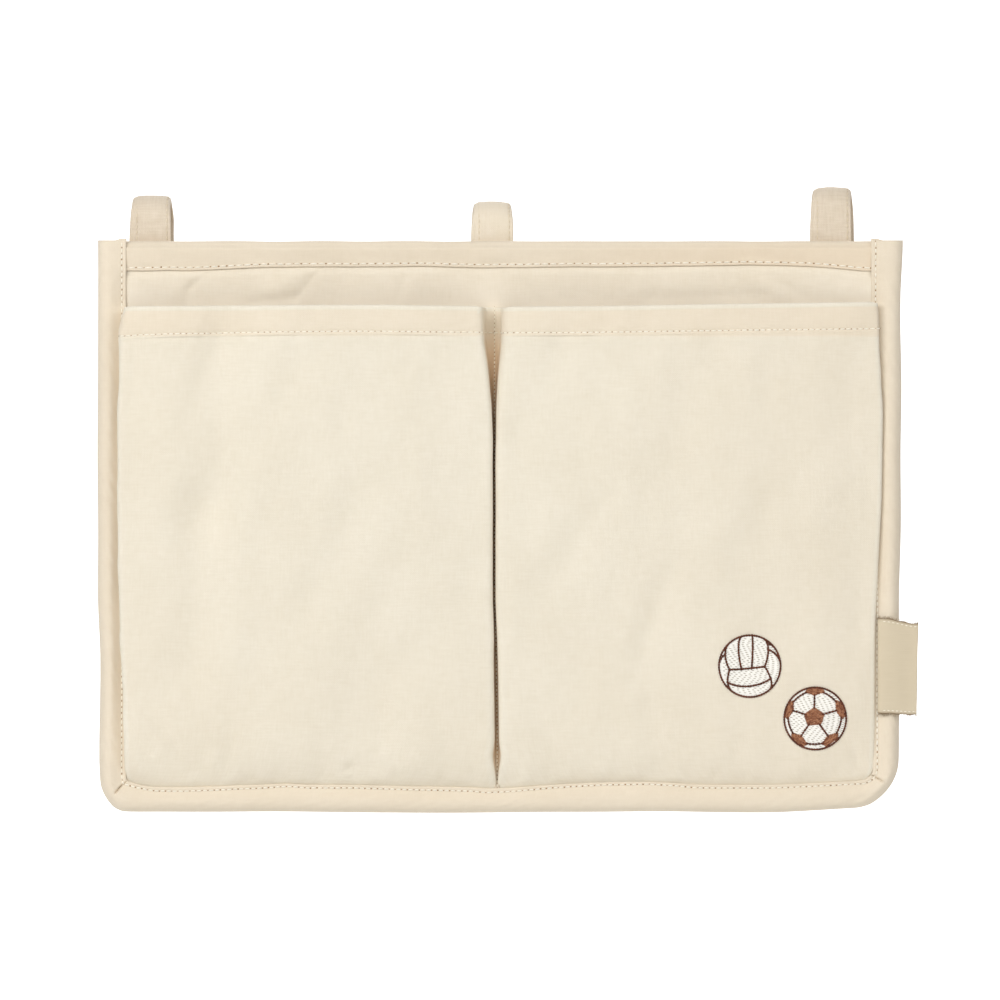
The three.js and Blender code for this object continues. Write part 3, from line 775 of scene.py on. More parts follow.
class RowTree(Tree):
    """Short threads laid along paths: lockstitches, satin columns and rows of filling."""

    TITLE = "thread row"
    SIZES = ("Pitch", "Length", "Width", "Height", "Lift", "Turn", "Sway", "Hole")
    INPUTS = dict.fromkeys(SIZES, FLOAT) | {"Seed": "NodeSocketInt", "Thread": MATERIAL, "Shade": MATERIAL}

    def nodes(self, g: Graph, given: dict[str, Wire], line: Wire) -> Wire:
        """A grain of thread at each stitch, and a dark dot of painted shade beside each, where the needle
        went through.

        Args:
            g: The tree.
            given: Its inputs by name.
            line: The paths as curves.

        Returns:
            The threads and the dots of painted shade.
        """

        def chance(low: float, high: float, step: float) -> Wire:
            """A random number for each stitch, a step on from the seed."""
            values = {2: low, 3: high, "Seed": given["Seed"] + step}
            return g.wire("FunctionNodeRandomValue", 1, {"data_type": "FLOAT"}, values)

        def stored(what: Wire, domain: str, name: str, value: Wire) -> Wire:
            """The geometry with a number kept on each point or instance."""
            values = {"Geometry": what, "Name": name, "Value": value}
            settings = {"data_type": "FLOAT", "domain": domain}
            return g.wire("GeometryNodeStoreNamedAttribute", 0, settings, values)

        def laid(what: Wire, scale: Wire, shift: Wire, chosen: Any = True) -> Wire:
            """Grains or dots along the line, each shifted in its own directions."""
            values = {"Points": line, "Selection": chosen, "Instance": what, "Rotation": turn, "Scale": scale}
            made = g.wire("GeometryNodeInstanceOnPoints", values=values)
            values = {"Instances": made, "Translation": shift, "Local Space": True}
            return g.wire("GeometryNodeTranslateInstances", values=values)

        values = {"Curve": line, "Length": given["Pitch"]}
        line = g.wire("GeometryNodeResampleCurve", 0, {"mode": "LENGTH"}, values)
        settings = {"data_type": "FLOAT_VECTOR"}
        facing = g.wire("GeometryNodeInputNamedAttribute", "Attribute", settings, {0: "facing"})
        turn = g.wire("FunctionNodeAlignRotationToVector", 0, {"axis": "Z"}, {"Vector": facing})
        values = {"Rotation": turn, "Vector": g.wire("GeometryNodeInputTangent")}
        turn = g.wire("FunctionNodeAlignRotationToVector", 0, {"axis": "X", "pivot_axis": "Z"}, values)
        sway = chance(-1.0, 1.0, 0.0)
        own = g.vector(0.0, 0.0, given["Turn"] + sway * given["Sway"])
        own = g.wire("FunctionNodeEulerToRotation", values={0: own})
        turn = g.wire("FunctionNodeRotateRotation", 0, {"rotation_space": "LOCAL"}, {0: turn, 1: own})
        ball = g.wire("GeometryNodeMeshUVSphere", values={"Segments": 8, "Rings": 6, "Radius": 0.5})
        ball = g.wire("GeometryNodeSetShadeSmooth", values={0: ball})
        # Each grain's distance from its middle: the threads' painted shade at their ends follows it.
        x, _, _ = g.split(g.wire("GeometryNodeInputPosition"))
        ball = stored(ball, "POINT", "end", g.math("ABSOLUTE", x) * 2.0)
        grain, shade_dot = (
            g.wire("GeometryNodeSetMaterial", values={0: ball, "Material": given[name]})
            for name in ("Thread", "Shade")
        )
        size = g.vector(given["Length"] * chance(0.93, 1.07, 1.0), given["Width"], given["Height"])
        lift = g.vector(0.0, 0.0, given["Lift"] / given["Height"])
        threads = stored(laid(grain, size, lift), "INSTANCE", "own_tone", chance(-1.0, 1.0, 3.0))
        # Dots of painted shade where the needle went through, half a stitch along.
        hole = given["Hole"] * chance(0.55, 1.0, 2.0)
        beside = g.vector(given["Pitch"] * (0.5 + sway * 0.06) / hole, 0.0, 0.2)
        hole_shades = laid(shade_dot, g.vector(hole, hole * 0.85, hole * 0.5), beside, given["Hole"] > 0.0)
        both = g.node("GeometryNodeJoinGeometry")
        for part in (hole_shades, threads):
            g.tree.links.new(part.socket, both.inputs[0])
        return g.wire("GeometryNodeRealizeInstances", values={0: Wire(g, both.outputs[0])})


class TapeTree(Tree):
    """A flat tape swept along a path, with soft edges."""

    TITLE = "tape on a path"
    INPUTS = {"Width": FLOAT, "Thickness": FLOAT, "Cloth": MATERIAL}

    def nodes(self, g: Graph, given: dict[str, Wire], line: Wire) -> Wire:
        """A rounded oblong swept along the line.

        Args:
            g: The tree.
            given: Its inputs by name.
            line: The path as a curve.

        Returns:
            The tape.
        """
        values = {"Curve": line, "Normal": (1.0, 0.0, 0.0)}
        line = g.wire("GeometryNodeSetCurveNormal", 0, {"mode": "FREE"}, values)
        values = {"Width": given["Width"], "Height": given["Thickness"]}
        edge = g.wire("GeometryNodeCurvePrimitiveQuadrilateral", values=values)
        values = {"Curve": edge, "Count": 4, "Radius": given["Thickness"] * 0.45}
        edge = g.wire("GeometryNodeFilletCurve", 0, {"mode": "POLY"}, values)
        edge = g.wire("GeometryNodeResampleCurve", 0, {"mode": "COUNT"}, {"Curve": edge, "Count": 88})
        values = {"Curve": line, "Profile Curve": edge, "Fill Caps": True}
        tape = g.wire("GeometryNodeCurveToMesh", values=values)
        tape = g.wire("GeometryNodeSetShadeSmooth", values={0: tape})
        tape = g.wire("GeometryNodeRealizeInstances", values={0: tape})
        return g.wire("GeometryNodeSetMaterial", values={0: tape, "Material": given["Cloth"]})


ROWS = RowTree()
TAPES = TapeTree()


@dataclass(frozen=True)
class Stitch:
    """The size and pitch of one kind of stitch, in millimetres."""

    pitch: float
    length: float
    width: float = 0.55
    height: float = 0.42
    lift: float = 0.06
    turn: float = 0.0
    sway: float = 0.06
    # The size of the dots of painted shade where the needle went through; 0 leaves them out.
    hole: float = 0.0

    def sew(
        self, name: str, paths: Paths, thread: Thread, body: str | None = ROOT, seed: int = 3
    ) -> bpy.types.Object:
        """Sews along paths.

        Args:
            name: The piece's name.
            paths: Paths in millimetres, each with normals.
            thread: The thread's finish.
            body: The body that the stitches ride on, or None to leave them on no body.
            seed: The seed of their small differences.

        Returns:
            The object.
        """
        inputs = {key: getattr(self, key.lower()) * MM for key in RowTree.SIZES}
        inputs |= {"Turn": self.turn, "Sway": self.sway}
        inputs |= {"Seed": seed, "Thread": thread.material, "Shade": NEEDLE_HOLE_SHADE.material}
        made = ROWS.grow(name, paths, inputs)
        thread.dress(made, body)
        return made


TOP_STITCH = Stitch(4.3, 3.3, width=0.85, height=0.6, lift=0.2, hole=0.95)
HEM_STITCH = Stitch(3.2, 2.6, width=0.75, height=0.5, lift=0.15, hole=0.7)
EDGE_STITCH = Stitch(3.15, 2.3, width=0.8, height=0.6, lift=0.2, hole=0.9)
SIDE_STITCH = Stitch(3.15, 2.75, width=1.0, height=0.75, lift=0.28, hole=0.42)
DIVIDER_STITCH = Stitch(2.15, 1.5, lift=0.12, hole=0.6)
BACKSTITCH = Stitch(1.35, 1.85, width=1.15, height=0.6, lift=0.4, sway=0.08)
FILL_STITCH = Stitch(1.1, 2.4, width=0.7, height=0.16, lift=0.1, sway=0.02)
FILL_SHADE_MARK = Stitch(2.5, 1.45, width=0.42, height=0.2, lift=0.2, sway=0.1)
PANEL_STITCH = Stitch(1.1, 2.0, width=0.52, height=0.4, lift=0.26, sway=0.05)
STRAP_STITCH = Stitch(2.9, 2.3, width=0.6, lift=0.16)
BOX_STITCH = Stitch(2.5, 2.1, width=0.5, height=0.38)
SELVAGE_STITCH = Stitch(2.1, 1.5, width=0.45, height=0.3, lift=0.03)
YARN_END = Stitch(0.45, 0.75, width=0.16, height=0.16, lift=0.0, sway=0.2)


# Sizes that the pieces share


@dataclass(frozen=True)
class Layout:
    """The layers and heights that every piece is set out from, in millimetres."""

    width: float = 420.0
    height: float = 298.5
    rail: float = 10.0
    gap: float = 0.3
    strap: float = 2.0
    cloth: float = 0.8
    wadding: float = 2.4
    crown: float = 1.6
    edge: float = 15.0
    edge_cloth: float = 0.9
    centre_stands: float = 20.4
    pocket_cloth: float = 1.2
    pocket_drop: float = 34.0
    hem: float = 15.7
    divider: float = -1.2
    flange: float = 14.4
    tape_drop: float = 22.0
    tape_length: float = 28.0
    loop: float = 1.5
    hook: float = 1.2

    @property
    def back_y(self) -> float:
        """The back of the rear cloth at its edges."""
        return -(self.rail + self.strap) - 2 * self.gap - self.cloth

    @property
    def stack(self) -> float:
        """The thickness of the panel."""
        return 2 * self.cloth + self.wadding + 2 * self.gap

    @property
    def front_y(self) -> float:
        """The face of the front cloth."""
        return self.back_y - self.stack

    @property
    def middle_y(self) -> float:
        """The middle of the panel."""
        return (self.front_y + self.back_y) / 2

    @property
    def edge_half(self) -> float:
        """Half the thickness of the edge where the binding is sewn down."""
        return self.stack / 2 + self.gap + self.edge_cloth

    @property
    def pocket_y(self) -> float:
        """The middle of the pocket sheet where it lies on the panel."""
        return self.front_y - self.gap - self.pocket_cloth / 2

    @property
    def top_z(self) -> float:
        """The panel's top edge."""
        return self.rail + self.strap - self.centre_stands

    @property
    def bottom_z(self) -> float:
        """The binding's bottom edge."""
        return self.top_z - self.height

    @property
    def inner_z(self) -> float:
        """The bottom binding's inner edge."""
        return self.bottom_z + self.edge

    @property
    def seam_z(self) -> float:
        """The pocket's bottom seam."""
        return self.inner_z + self.gap + self.pocket_cloth / 2

    @property
    def mouth_z(self) -> float:
        """The pocket's mouth."""
        return self.top_z - self.pocket_drop


LAY = Layout()


SEAM_X = (
    -194.6, -187.8, -181, -173.7, -166.9, -160.6, -145, -139.2, -125, -110.5, -100.6, -78, -48.3, -30,
    -14.4, -7.6, 2.9, 9.7, 22.2, 38.4, 52.5, 77, 90, 103, 122, 154, 180,
)
SEAM_RISE = (
    1.5, -0.1, -1.45, -1.65, -1.8, -1.65, -1.2, -0.8, -0.25, 0.8, 0.0, 0.25, -0.4, -0.7,
    -1.15, -1.9, -1.65, -1.15, -0.1, 0.95, 1.55, 1.9, 1.2, 0.1, 0.1, 0.25, 0.0,
)
SIDE_RISE = 2.7
SIDE_FROM, SIDE_TO = 138, 204


def lie(points: Array) -> Array:
    """The points where the cloth lies: the bottom edge rises to the right, and its seam wanders.

    Args:
        points: Places in millimetres, changed in place.

    Returns:
        The same points.
    """
    x, z = points[..., 0], points[..., 2]
    low = 1 - smooth(z, LAY.bottom_z + 12, LAY.bottom_z + 75)
    wavy = 0.35 * np.cos((x + 140) / 38) * (1 - smooth(x, 60, 150))
    rise = low * (SIDE_RISE * smooth(x, SIDE_FROM, SIDE_TO) + wavy)
    seam = LAY.inner_z + np.array([-12.0, -6.0, -2.3, 0.0, 6.5, 13.0])
    wander = np.interp(x, SEAM_X, SEAM_RISE) * np.interp(z, seam, [0, 0.7, 1, 0.75, 0.4, 0])
    tight = np.interp(z, seam, [0, 0, -0.1, -0.7, -0.35, 0]) * smooth(194 - np.abs(x), 0, 8)
    points[..., 2] = z + rise + wander * smooth(196 - x, 0, 12) + tight
    return points


class Studio:
    """White paper, soft lights and a long lens straight from the front."""

    DISTANCE = 9.0
    FRAME_WIDTH = 0.5224
    AIM = (0.00026, -0.0205, -0.1437)
    WALL = 14.0
    ROOM_COLOUR = (1.0, 0.975, 0.945, 1.0)
    ROOM_STRENGTH = 0.345
    SOFTBOXES = (
        ("left softbox", (-1.7, -2.1, 1.15), 1.5, 35.0),
        ("right softbox", (1.7, -2.1, 1.15), 1.5, 18.0),
        ("near softbox", (-0.7, -2.9, 1.7), 0.8, 22.0),
        ("back softbox", (0.6, 2.0, 1.6), 1.6, 26.0),
    )

    def build(self) -> None:
        """Sets the paper, the lights and the camera."""
        self.paper("studio_floor", (0, 0, -1.2), (self.WALL, self.WALL), 0.0, 0.08)
        self.paper("studio_backdrop", (0, self.WALL, 1.3), (self.WALL, 2.5), math.pi / 2, 1.02)
        world = bpy.data.worlds.new("soft white room")
        world.use_nodes = True
        room = world.node_tree.nodes["Background"].inputs
        room["Color"].default_value = self.ROOM_COLOUR
        room["Strength"].default_value = self.ROOM_STRENGTH
        scene = bpy.context.scene
        scene.world = world
        scene.view_settings.view_transform = "Standard"
        for name, place, size, power in self.SOFTBOXES:
            self.softbox(name, place, size, power)
        self.camera()

    def paper(
        self, name: str, place: tuple, size: tuple[float, float], tilt: float, glow: float
    ) -> None:
        """Lays or hangs a sheet of paper.

        Args:
            name: The sheet's name.
            place: Its middle, in metres.
            size: Half its width and half its length.
            tilt: Its turn about the X axis.
            glow: How much light it adds by itself.
        """
        across = Vector((size[0], 0, 0))
        along = Vector((0, math.cos(tilt), math.sin(tilt))) * size[1]
        points = [Vector(place) + across * x + along * y for x, y in ((-1, -1), (1, -1), (1, 1), (-1, 1))]
        mesh = bpy.data.meshes.new(name)
        mesh.from_pydata(points, [], [(0, 1, 2, 3)])
        mesh.materials.append(Paper(name, "fdfdfc", glow).material)
        made = placed(name, mesh)

    def softbox(self, name: str, place: tuple, size: float, power: float) -> None:
        """Hangs a square softbox that faces the caddy."""
        light = bpy.data.lights.new(name, "AREA")
        light.shape = "SQUARE"
        light.size = size
        light.energy = power
        made = placed(name, light)
        made.location = place
        made.rotation_euler = (Vector(self.AIM) - Vector(place)).to_track_quat("-Z", "Y").to_euler()
        made.visible_camera = False

    def camera(self) -> None:
        """Sets the camera straight in front, with the frame as wide as the photograph's."""
        lens = bpy.data.cameras.new("camera")
        lens.sensor_width = 36.0
        lens.lens = lens.sensor_width * self.DISTANCE / self.FRAME_WIDTH
        lens.clip_end = 100.0
        made = placed("camera", lens)
        made.location = Vector(self.AIM) - Vector((0, self.DISTANCE, 0))
        made.rotation_euler = (math.pi / 2, 0, 0)
        bpy.context.scene.camera = made


@dataclass(frozen=True)
class EdgeLine:
    """The U-shaped edge: the binding's inner edge, each point with its partner on the outer edge."""

    stands_up: float = 1.2
    left_outer: float = 14.0
    left_inner: float = 2.0
    right_outer: float = 24.0
    right_inner: float = 5.0
    spacing: float = 1.5
    corner_steps: int = 44

    def corner(self, side: int, angles: Array) -> tuple[Array, Array]:
        """A corner's inner and outer points.

        Args:
            side: -1 for the left corner, 1 for the right one.
            angles: Where on the corner.

        Returns:
            The inner points and the outer points.
        """
        radii = (self.left_inner, self.left_outer) if side < 0 else (self.right_inner, self.right_outer)
        made = []
        for inset, radius in ((LAY.edge, radii[0]), (0.0, radii[1])):
            x = side * (LAY.width / 2 - inset - radius) + radius * np.cos(angles)
            z = LAY.bottom_z + inset + radius + radius * np.sin(angles)
            made.append(joined(x, z))
        return made[0], made[1]

    @cached_property
    def stations(self) -> tuple[Array, Array, Array]:
        """Inner points, outer points and distances from the nearest mitre crease along the edge."""
        steps = np.linspace(0, math.pi / 2, self.corner_steps + 1)
        left, right = self.corner(-1, math.pi + steps), self.corner(1, 1.5 * math.pi + steps)
        top = LAY.top_z + self.stands_up
        ends = [
            (np.array([[s * (LAY.width / 2 - LAY.edge), top]]), np.array([[s * LAY.width / 2, top]]))
            for s in (-1, 1)
        ]
        keys = [ends[0], left, right, ends[1]]
        inner, outer = [keys[0][0]], [keys[0][1]]
        for (ai, ao), (bi, bo) in zip(keys, keys[1:]):
            count = max(2, round(np.linalg.norm(bo[0] - ao[-1]) / self.spacing))
            shares = np.linspace(0, 1, count + 1)[1:-1, None]
            inner += [mix(ai[-1], bi[0], shares), bi]
            outer += [mix(ao[-1], bo[0], shares), bo]
        inner, outer = np.concatenate(inner), np.concatenate(outer)
        middle = mix(inner, outer, 0.5)
        along = lengths(middle)
        mitre = np.full(len(along), np.inf)
        for (corner_inner, corner_outer), share in ((left, 0.5), (right, 0.61)):
            step = round(self.corner_steps * share)
            spot = mix(corner_inner[step], corner_outer[step], 0.5)
            centre = along[np.argmin(np.linalg.norm(middle - spot, axis=1))]
            mitre = np.minimum(mitre, np.abs(along - centre))
        return inner, outer, mitre

    def side_x(self, side: int, z: Array | float, share: float) -> Array:
        """The X of the line at a share across the binding, on one side, at heights."""
        inner, outer, _ = self.stations
        line = mix(inner, outer, share)
        line = line[line[:, 0] * side > 0]
        line = line[np.argsort(line[:, 1], kind="stable")]
        low = line[:, 1] >= line[0, 1]
        return np.interp(z, line[low, 1], line[low, 0])


EDGE = EdgeLine()


class Panel:
    """The wadded back panel: front cloth, wadding and rear cloth, with the seams through them."""

    in_edge: float = 6.0
    crown_start: float = 6.0
    crown_end: float = 20.0
    folds: tuple[Fold, ...] = Fold.table(
        (-149, -22, -162, -33, 2.1, 0.75, 1.5), (-162, -33, -165, -43, 2.6, 0.6, 1.5),
        (-156, -22, -170, -36, 5.0, -0.7, 1.9), (-188, -28, -180, -31, 2.6, -0.4, 1.8),
        (-94, -23, -106, -38, 2.2, 0.85, 1.5), (-108, -38, -131, -41, 2.6, 0.8, 1.6),
        (-100, -23, -118, -34, 5.0, -0.75, 1.9), (-49, -28, -54, -40, 3.0, 0.6, 1.6),
        (-42, -25, -49, -38, 5.0, -0.45, 1.9), (12, -30, 21, -41, 2.8, 0.5, 1.6),
        (27, -26, 31, -42, 4.2, -0.4, 1.9), (88, -24, 79, -38, 3.4, 0.4, 1.7),
        (80, -38, 140, -36, 3.0, 0.5, 1.7), (128, -27, 148, -37, 3.8, -0.5, 1.9),
        (146, -30, 164, -40, 3.0, 0.6, 1.6), (166, -24, 178, -36, 4.4, -0.4, 1.9),
    )

    def layer(
        self, name: str, finish: Fabric, faces: Sequence[Any], rows: Array, columns: Array, node: str
    ) -> None:
        """Makes one layer of the panel.

        Args:
            name: The piece's name.
            finish: Its finish.
            faces: Functions of X and Z that give the depths of its two faces.
            rows: Heights of the grid's rows.
            columns: Shares across of the grid's columns.
            node: The node that it stands for.
        """
        share = self.in_edge / LAY.edge
        left, right = (EDGE.side_x(s, rows, share)[:, None] for s in (-1, 1))
        x = mix(left, right, columns[None, :])
        z = np.broadcast_to(rows[:, None], x.shape)
        near, far = (lie(joined(x, face(x, z), z)) for face in faces)
        # Painted light: every layer is lightened in a band just above the pocket mouths, against the shade
        # that the pockets cast on the front cloth.
        painted_light_over_mouth = smooth(z, LAY.mouth_z - 8, LAY.mouth_z)
        painted_light_over_mouth = painted_light_over_mouth * (1 - smooth(z, LAY.mouth_z + 3, LAY.mouth_z + 15))
        finish.dress(closed_sheet(name, near, far, joined(x, z), painted_light_over_mouth), ROOT, [node])

    def crown(self, x: Array, z: Array) -> Array:
        """How far the wadding lifts the rear cloth."""
        bottom = LAY.inner_z - self.in_edge
        top = LAY.top_z - LAY.tape_drop - LAY.tape_length - 3
        span = self.crown_end - self.crown_start
        distances = [
            x - EDGE.side_x(-1, z, 0.4), EDGE.side_x(1, z, 0.4) - x, np.abs(x - LAY.divider),
            z - bottom, top - z,
        ]
        least = np.minimum.reduce([np.clip((d - self.crown_start) / span, 0, 1) for d in distances])
        return LAY.crown * np.sin(least * math.pi / 2)

    def build(self) -> None:
        """Makes the three layers and sews the divider's seam through them."""
        gap, cloth = LAY.gap, LAY.cloth
        front, back = LAY.front_y, LAY.back_y
        top = LAY.top_z - (LAY.stack / 2 + gap + cloth)
        bottom = LAY.inner_z - self.in_edge
        mouth = LAY.mouth_z
        fine = spread((bottom, 1), (bottom + 10, 5), (mouth - 12, 7), (mouth + 6, 1.5), (top, 0.8))
        across = np.linspace(0, 1, 300)
        drape, fine_drape = Ripples(11, 34, 0.3, 1.2), Ripples(12, 11, 0.6, 0.7)

        def face_front(x: Array, z: Array) -> Array:
            """The front cloth's face, with the folds that hang from the top binding."""
            loose = smooth(z, mouth - 14, mouth) * (1 - smooth(z, top - 12, top - 6))
            waves = drape(x, z) * 0.3 + fine_drape(x, z) * 0.05
            below = TopBinding.lower_edge(x) - z
            puff = 0.25 * smooth(below, -1.5, 0) + 0.65 * smooth(below, -0.5, 4)
            puff = puff * smooth(z, mouth - 4, mouth + 12)
            return front - puff + loose * (0.65 * sink_of(self.folds, x, z) - waves) * smooth(below, 0, 2)

        def face_mid(x: Array, z: Array) -> Array:
            """The back of the front cloth."""
            return np.full(x.shape, front + cloth)

        self.layer("front_cloth", PANEL_CLOTH, (face_front, face_mid), fine, across, "front_panel")

        quilt, pucker = Ripples(14, 46), Ripples(15, 9, 0.0, 0.5)

        def face_back(x: Array, z: Array) -> Array:
            """The rear cloth's face, puffed by the wadding and drawn in at the seam."""
            puff = self.crown(x, z)
            sewn = 1 - smooth(z, mouth - 4, mouth)
            seam = hump(x, PocketSheet().divider_x(z), 1.6) * sewn
            draws = hump(x, LAY.divider, 9) * sewn * 0.22 * pucker(z, x * 0.2) + quilt(x, z) * 0.16 * puff
            return back + puff - seam * 0.5 + draws

        def face_inner(x: Array, z: Array) -> Array:
            """The inside of the rear cloth."""
            return back - cloth + self.crown(x, z)

        rear = spread((bottom, 1), (bottom + 22, 2), (mouth, 3.2), (top, 2.2))
        middle = (LAY.divider + LAY.width / 2) / LAY.width
        columns = np.concatenate([np.linspace(0, 1, 180), middle + np.linspace(-0.02, 0.02, 31)])
        faces = (face_back, face_inner)
        self.layer("rear_cloth", PANEL_CLOTH, faces, rear, np.unique(columns), "rear_panel")
        matted = Ripples(17, 12)
        faces = (
            lambda x, z: front + cloth + gap + 0.12 * matted(x, z),
            lambda x, z: back - cloth - gap + self.crown(x, z) - 0.12 * matted(x + 50, z),
        )
        rows = spread((bottom, 1), (top + LAY.wadding / 2, 5))
        self.layer("wadding_layer", STUFFING, faces, rows, np.linspace(0, 1, 90), "wadding")
        z = np.linspace(mouth - 1.5, LAY.seam_z - 2, 120)
        x = np.asarray(PocketSheet().divider_x(z))
        path = joined(x, face_back(x, z), z)
        DIVIDER_STITCH.sew("divider_stitches_rear", [faced(path, 1.0)], SEAM_THREAD, seed=5)


class EdgeBinding:
    """The stuffed binding round three edges, its filling and its two rows of stitches."""

    front_bulge: float = 7.2
    back_bulge: float = 5.2
    flange_share: float = 0.17
    flange_end: float = 0.23
    bulge_share: float = 0.58
    stitch_share: float = 0.155
    side_seam: tuple[float, float] = (-274.0, -166.0)

    def shares(self) -> tuple[Array, int]:
        """Shares across the section, and the number of the one under the stitches."""
        flat = np.array([0.0, 0.03, 0.075, 0.115, self.stitch_share, 0.19, self.flange_end])
        ramp = np.linspace(self.flange_end, self.bulge_share, 10)[1:]
        turn = np.sin(np.linspace(0, math.pi / 2, 14))[1:]
        return np.concatenate([flat, ramp, mix(self.bulge_share, 1.0, turn)]), 4

    def depth(self, share: Array, flat: Array, bulge: Array) -> Array:
        """The depth of one half of the section."""
        rising = mix(flat, bulge, smooth(share, self.flange_share, self.bulge_share))
        turned = np.clip((share - self.bulge_share) / (1 - self.bulge_share), 0, 1)
        return np.where(share <= self.bulge_share, rising, bulge * np.sqrt(1 - turned * turned))

    @staticmethod
    def crease(mitre: Array, share: Array) -> Array:
        """How deep the mitres' folds are, at distances from them and shares across."""
        slot = 0.6 * np.exp(-mitre / 1.5) + 2.0 * np.exp(-((mitre / 0.5) ** 2))
        return slot[:, None] * smooth(share, 0.0, 0.1) * (1 - smooth(share, 0.5, 0.66))

    @staticmethod
    def drawn_in(place: Array, far: Array) -> Array:
        """Moves points in where the lower sides are drawn in and the corners are worn.

        Args:
            place: X and Z of each point.
            far: How much each point across the section moves.

        Returns:
            The points.
        """
        x, z = place[..., 0], place[..., 1]
        high = np.where(x < 0, smooth(z, -228, -190), smooth(z, -200, -120))
        inwards = mix(0.4, 1.0, smooth(z, -300, -285)) * (1 - high) * smooth(np.abs(x), 192, 200)
        left = 1.5 * hump(np.hypot(x + 207, z + 301), 0, 11)
        right = 0.9 * hump(np.hypot(x - 203, z + 296), 0, 13)
        return place + joined(far * (left - right - np.sign(x) * inwards), far * (0.7 * left + right))

    def build(self) -> None:
        """Makes the shell, the filling and the stitches."""
        inner, outer, mitre = EDGE.stations
        along = lengths(mix(inner, outer, 0.5))
        shares, stitched = self.shares()
        z, s = inner[:, 1:2], along[:, None]
        end = np.minimum(along, along[-1] - along)[:, None]
        lumps, sways, drags = Ripples(21, 60), Ripples(22, 95), Ripples(23, 7.5, 0.75, 0.25)
        plump = (1 + 0.055 * lumps(s)) * mix(0.7, 1.0, smooth(end, 8, 75))
        mouth = smooth(z, LAY.mouth_z - 4, LAY.mouth_z + 3)
        top = smooth(z, LAY.top_z - LAY.flange - 7, LAY.top_z - LAY.flange - 0.5)
        room_front = mix(mix(1.5, 0.35, mouth), 1.4, top)
        room_back = 1.1 * top
        across = np.linalg.norm(outer - inner, axis=1)[:, None]
        halves = []
        specs = ((room_front, self.front_bulge, -1, 0), (room_back, self.back_bulge, 1, 9))
        share = np.broadcast_to(shares, (len(along), len(shares)))
        for room, bulge, facing, seed in specs:
            flat = LAY.edge_half + room
            depth = self.depth(share, flat, np.maximum(bulge * plump, flat + 0.5))
            live = smooth(share, 0.2, 0.4) * (1 - smooth(share, 0.8, 1.0))
            depth = depth + live * 0.16 * drags(s + share * across + seed, share * across)
            depth = depth - 0.38 * hump(share, self.stitch_share, 0.05)
            depth = depth - self.crease(mitre, share)
            depth = depth - 0.35 * (1 - smooth(share, 0.0, 0.035))
            halves.append(facing * depth)
        wave = 0.32 * sways(s) * shares[None, :]

        def ring_points(depths: Array, inset: float) -> Array:
            """Points of one half at a distance inside the outer face."""
            reach = shares * (1 - inset / LAY.edge * smooth(shares, 0.5, 1.0))
            place = inner[:, None, :] + (outer - inner)[:, None, :] * reach[None, :, None]
            place = place + unit(outer - inner)[:, None, :] * wave[..., None]
            place[..., 1] -= 0.8 * (1 - smooth(end, 0, 9)) * smooth(shares, 0.2, 0.4)[None, :]
            on_right = smooth(place[..., 0], 150, 190) * smooth(z, LAY.mouth_z - 25, LAY.mouth_z + 5)
            flare = mix(-0.8, 0.7 * smooth(z, LAY.top_z - 30, LAY.top_z), smooth(shares, 0.25, 0.8)[None, :])
            place[..., 0] += on_right * flare
            place = self.drawn_in(place, smooth(shares, 0.35, 1.0))
            y = LAY.middle_y + depths - np.sign(depths) * inset
            return lie(joined(place[..., 0], y, place[..., 1]))

        front, back = (ring_points(h, 0.0) for h in halves)
        front_in, back_in = (ring_points(h, LAY.edge_cloth * 0.95) for h in halves)
        ring = np.concatenate([front, back[:, -2::-1], back_in, front_in[:, -2::-1]], axis=1)
        round_it = lengths(ring)
        half = ring.shape[1] // 2
        round_it[:, half:] = round_it[:, :half][:, ::-1]
        uv = joined(round_it, s)
        wear_and_painted_light = np.zeros(ring.shape[:2])
        count = len(shares)
        wear_and_painted_light[:, : 2 * count - 1] = 0.25 * hump(np.arange(2 * count - 1), count - 1, 6)
        made = closed_roll("edge_binding_cloth", ring, uv, wear_and_painted_light)
        BINDING_CLOTH.dress(made, ROOT, ["edge_binding"])
        self.filling(inner, outer, mitre, room_front, plump, along)
        path = front[2:-2, stitched] + np.array([0, -0.05, 0])
        low, high = self.side_seam
        side = np.flatnonzero((path[:, 0] > 0) & (path[:, 2] < high) & (path[:, 2] > low))
        first, last = side[0], side[-1]
        ends = [faced(path[: first + 1], -1.0), faced(path[last:], -1.0)]
        EDGE_STITCH.sew("binding_stitches_front", ends, SEAM_THREAD, seed=7)
        side = [faced(path[first : last + 1], -1.0)]
        SIDE_STITCH.sew("binding_stitches_side", side, SEAM_THREAD, seed=9)
        path = back[2:-2, stitched] + np.array([0, 0.05, 0])
        EDGE_STITCH.sew("binding_stitches_rear", [faced(path, 1.0)], SEAM_THREAD, seed=8)

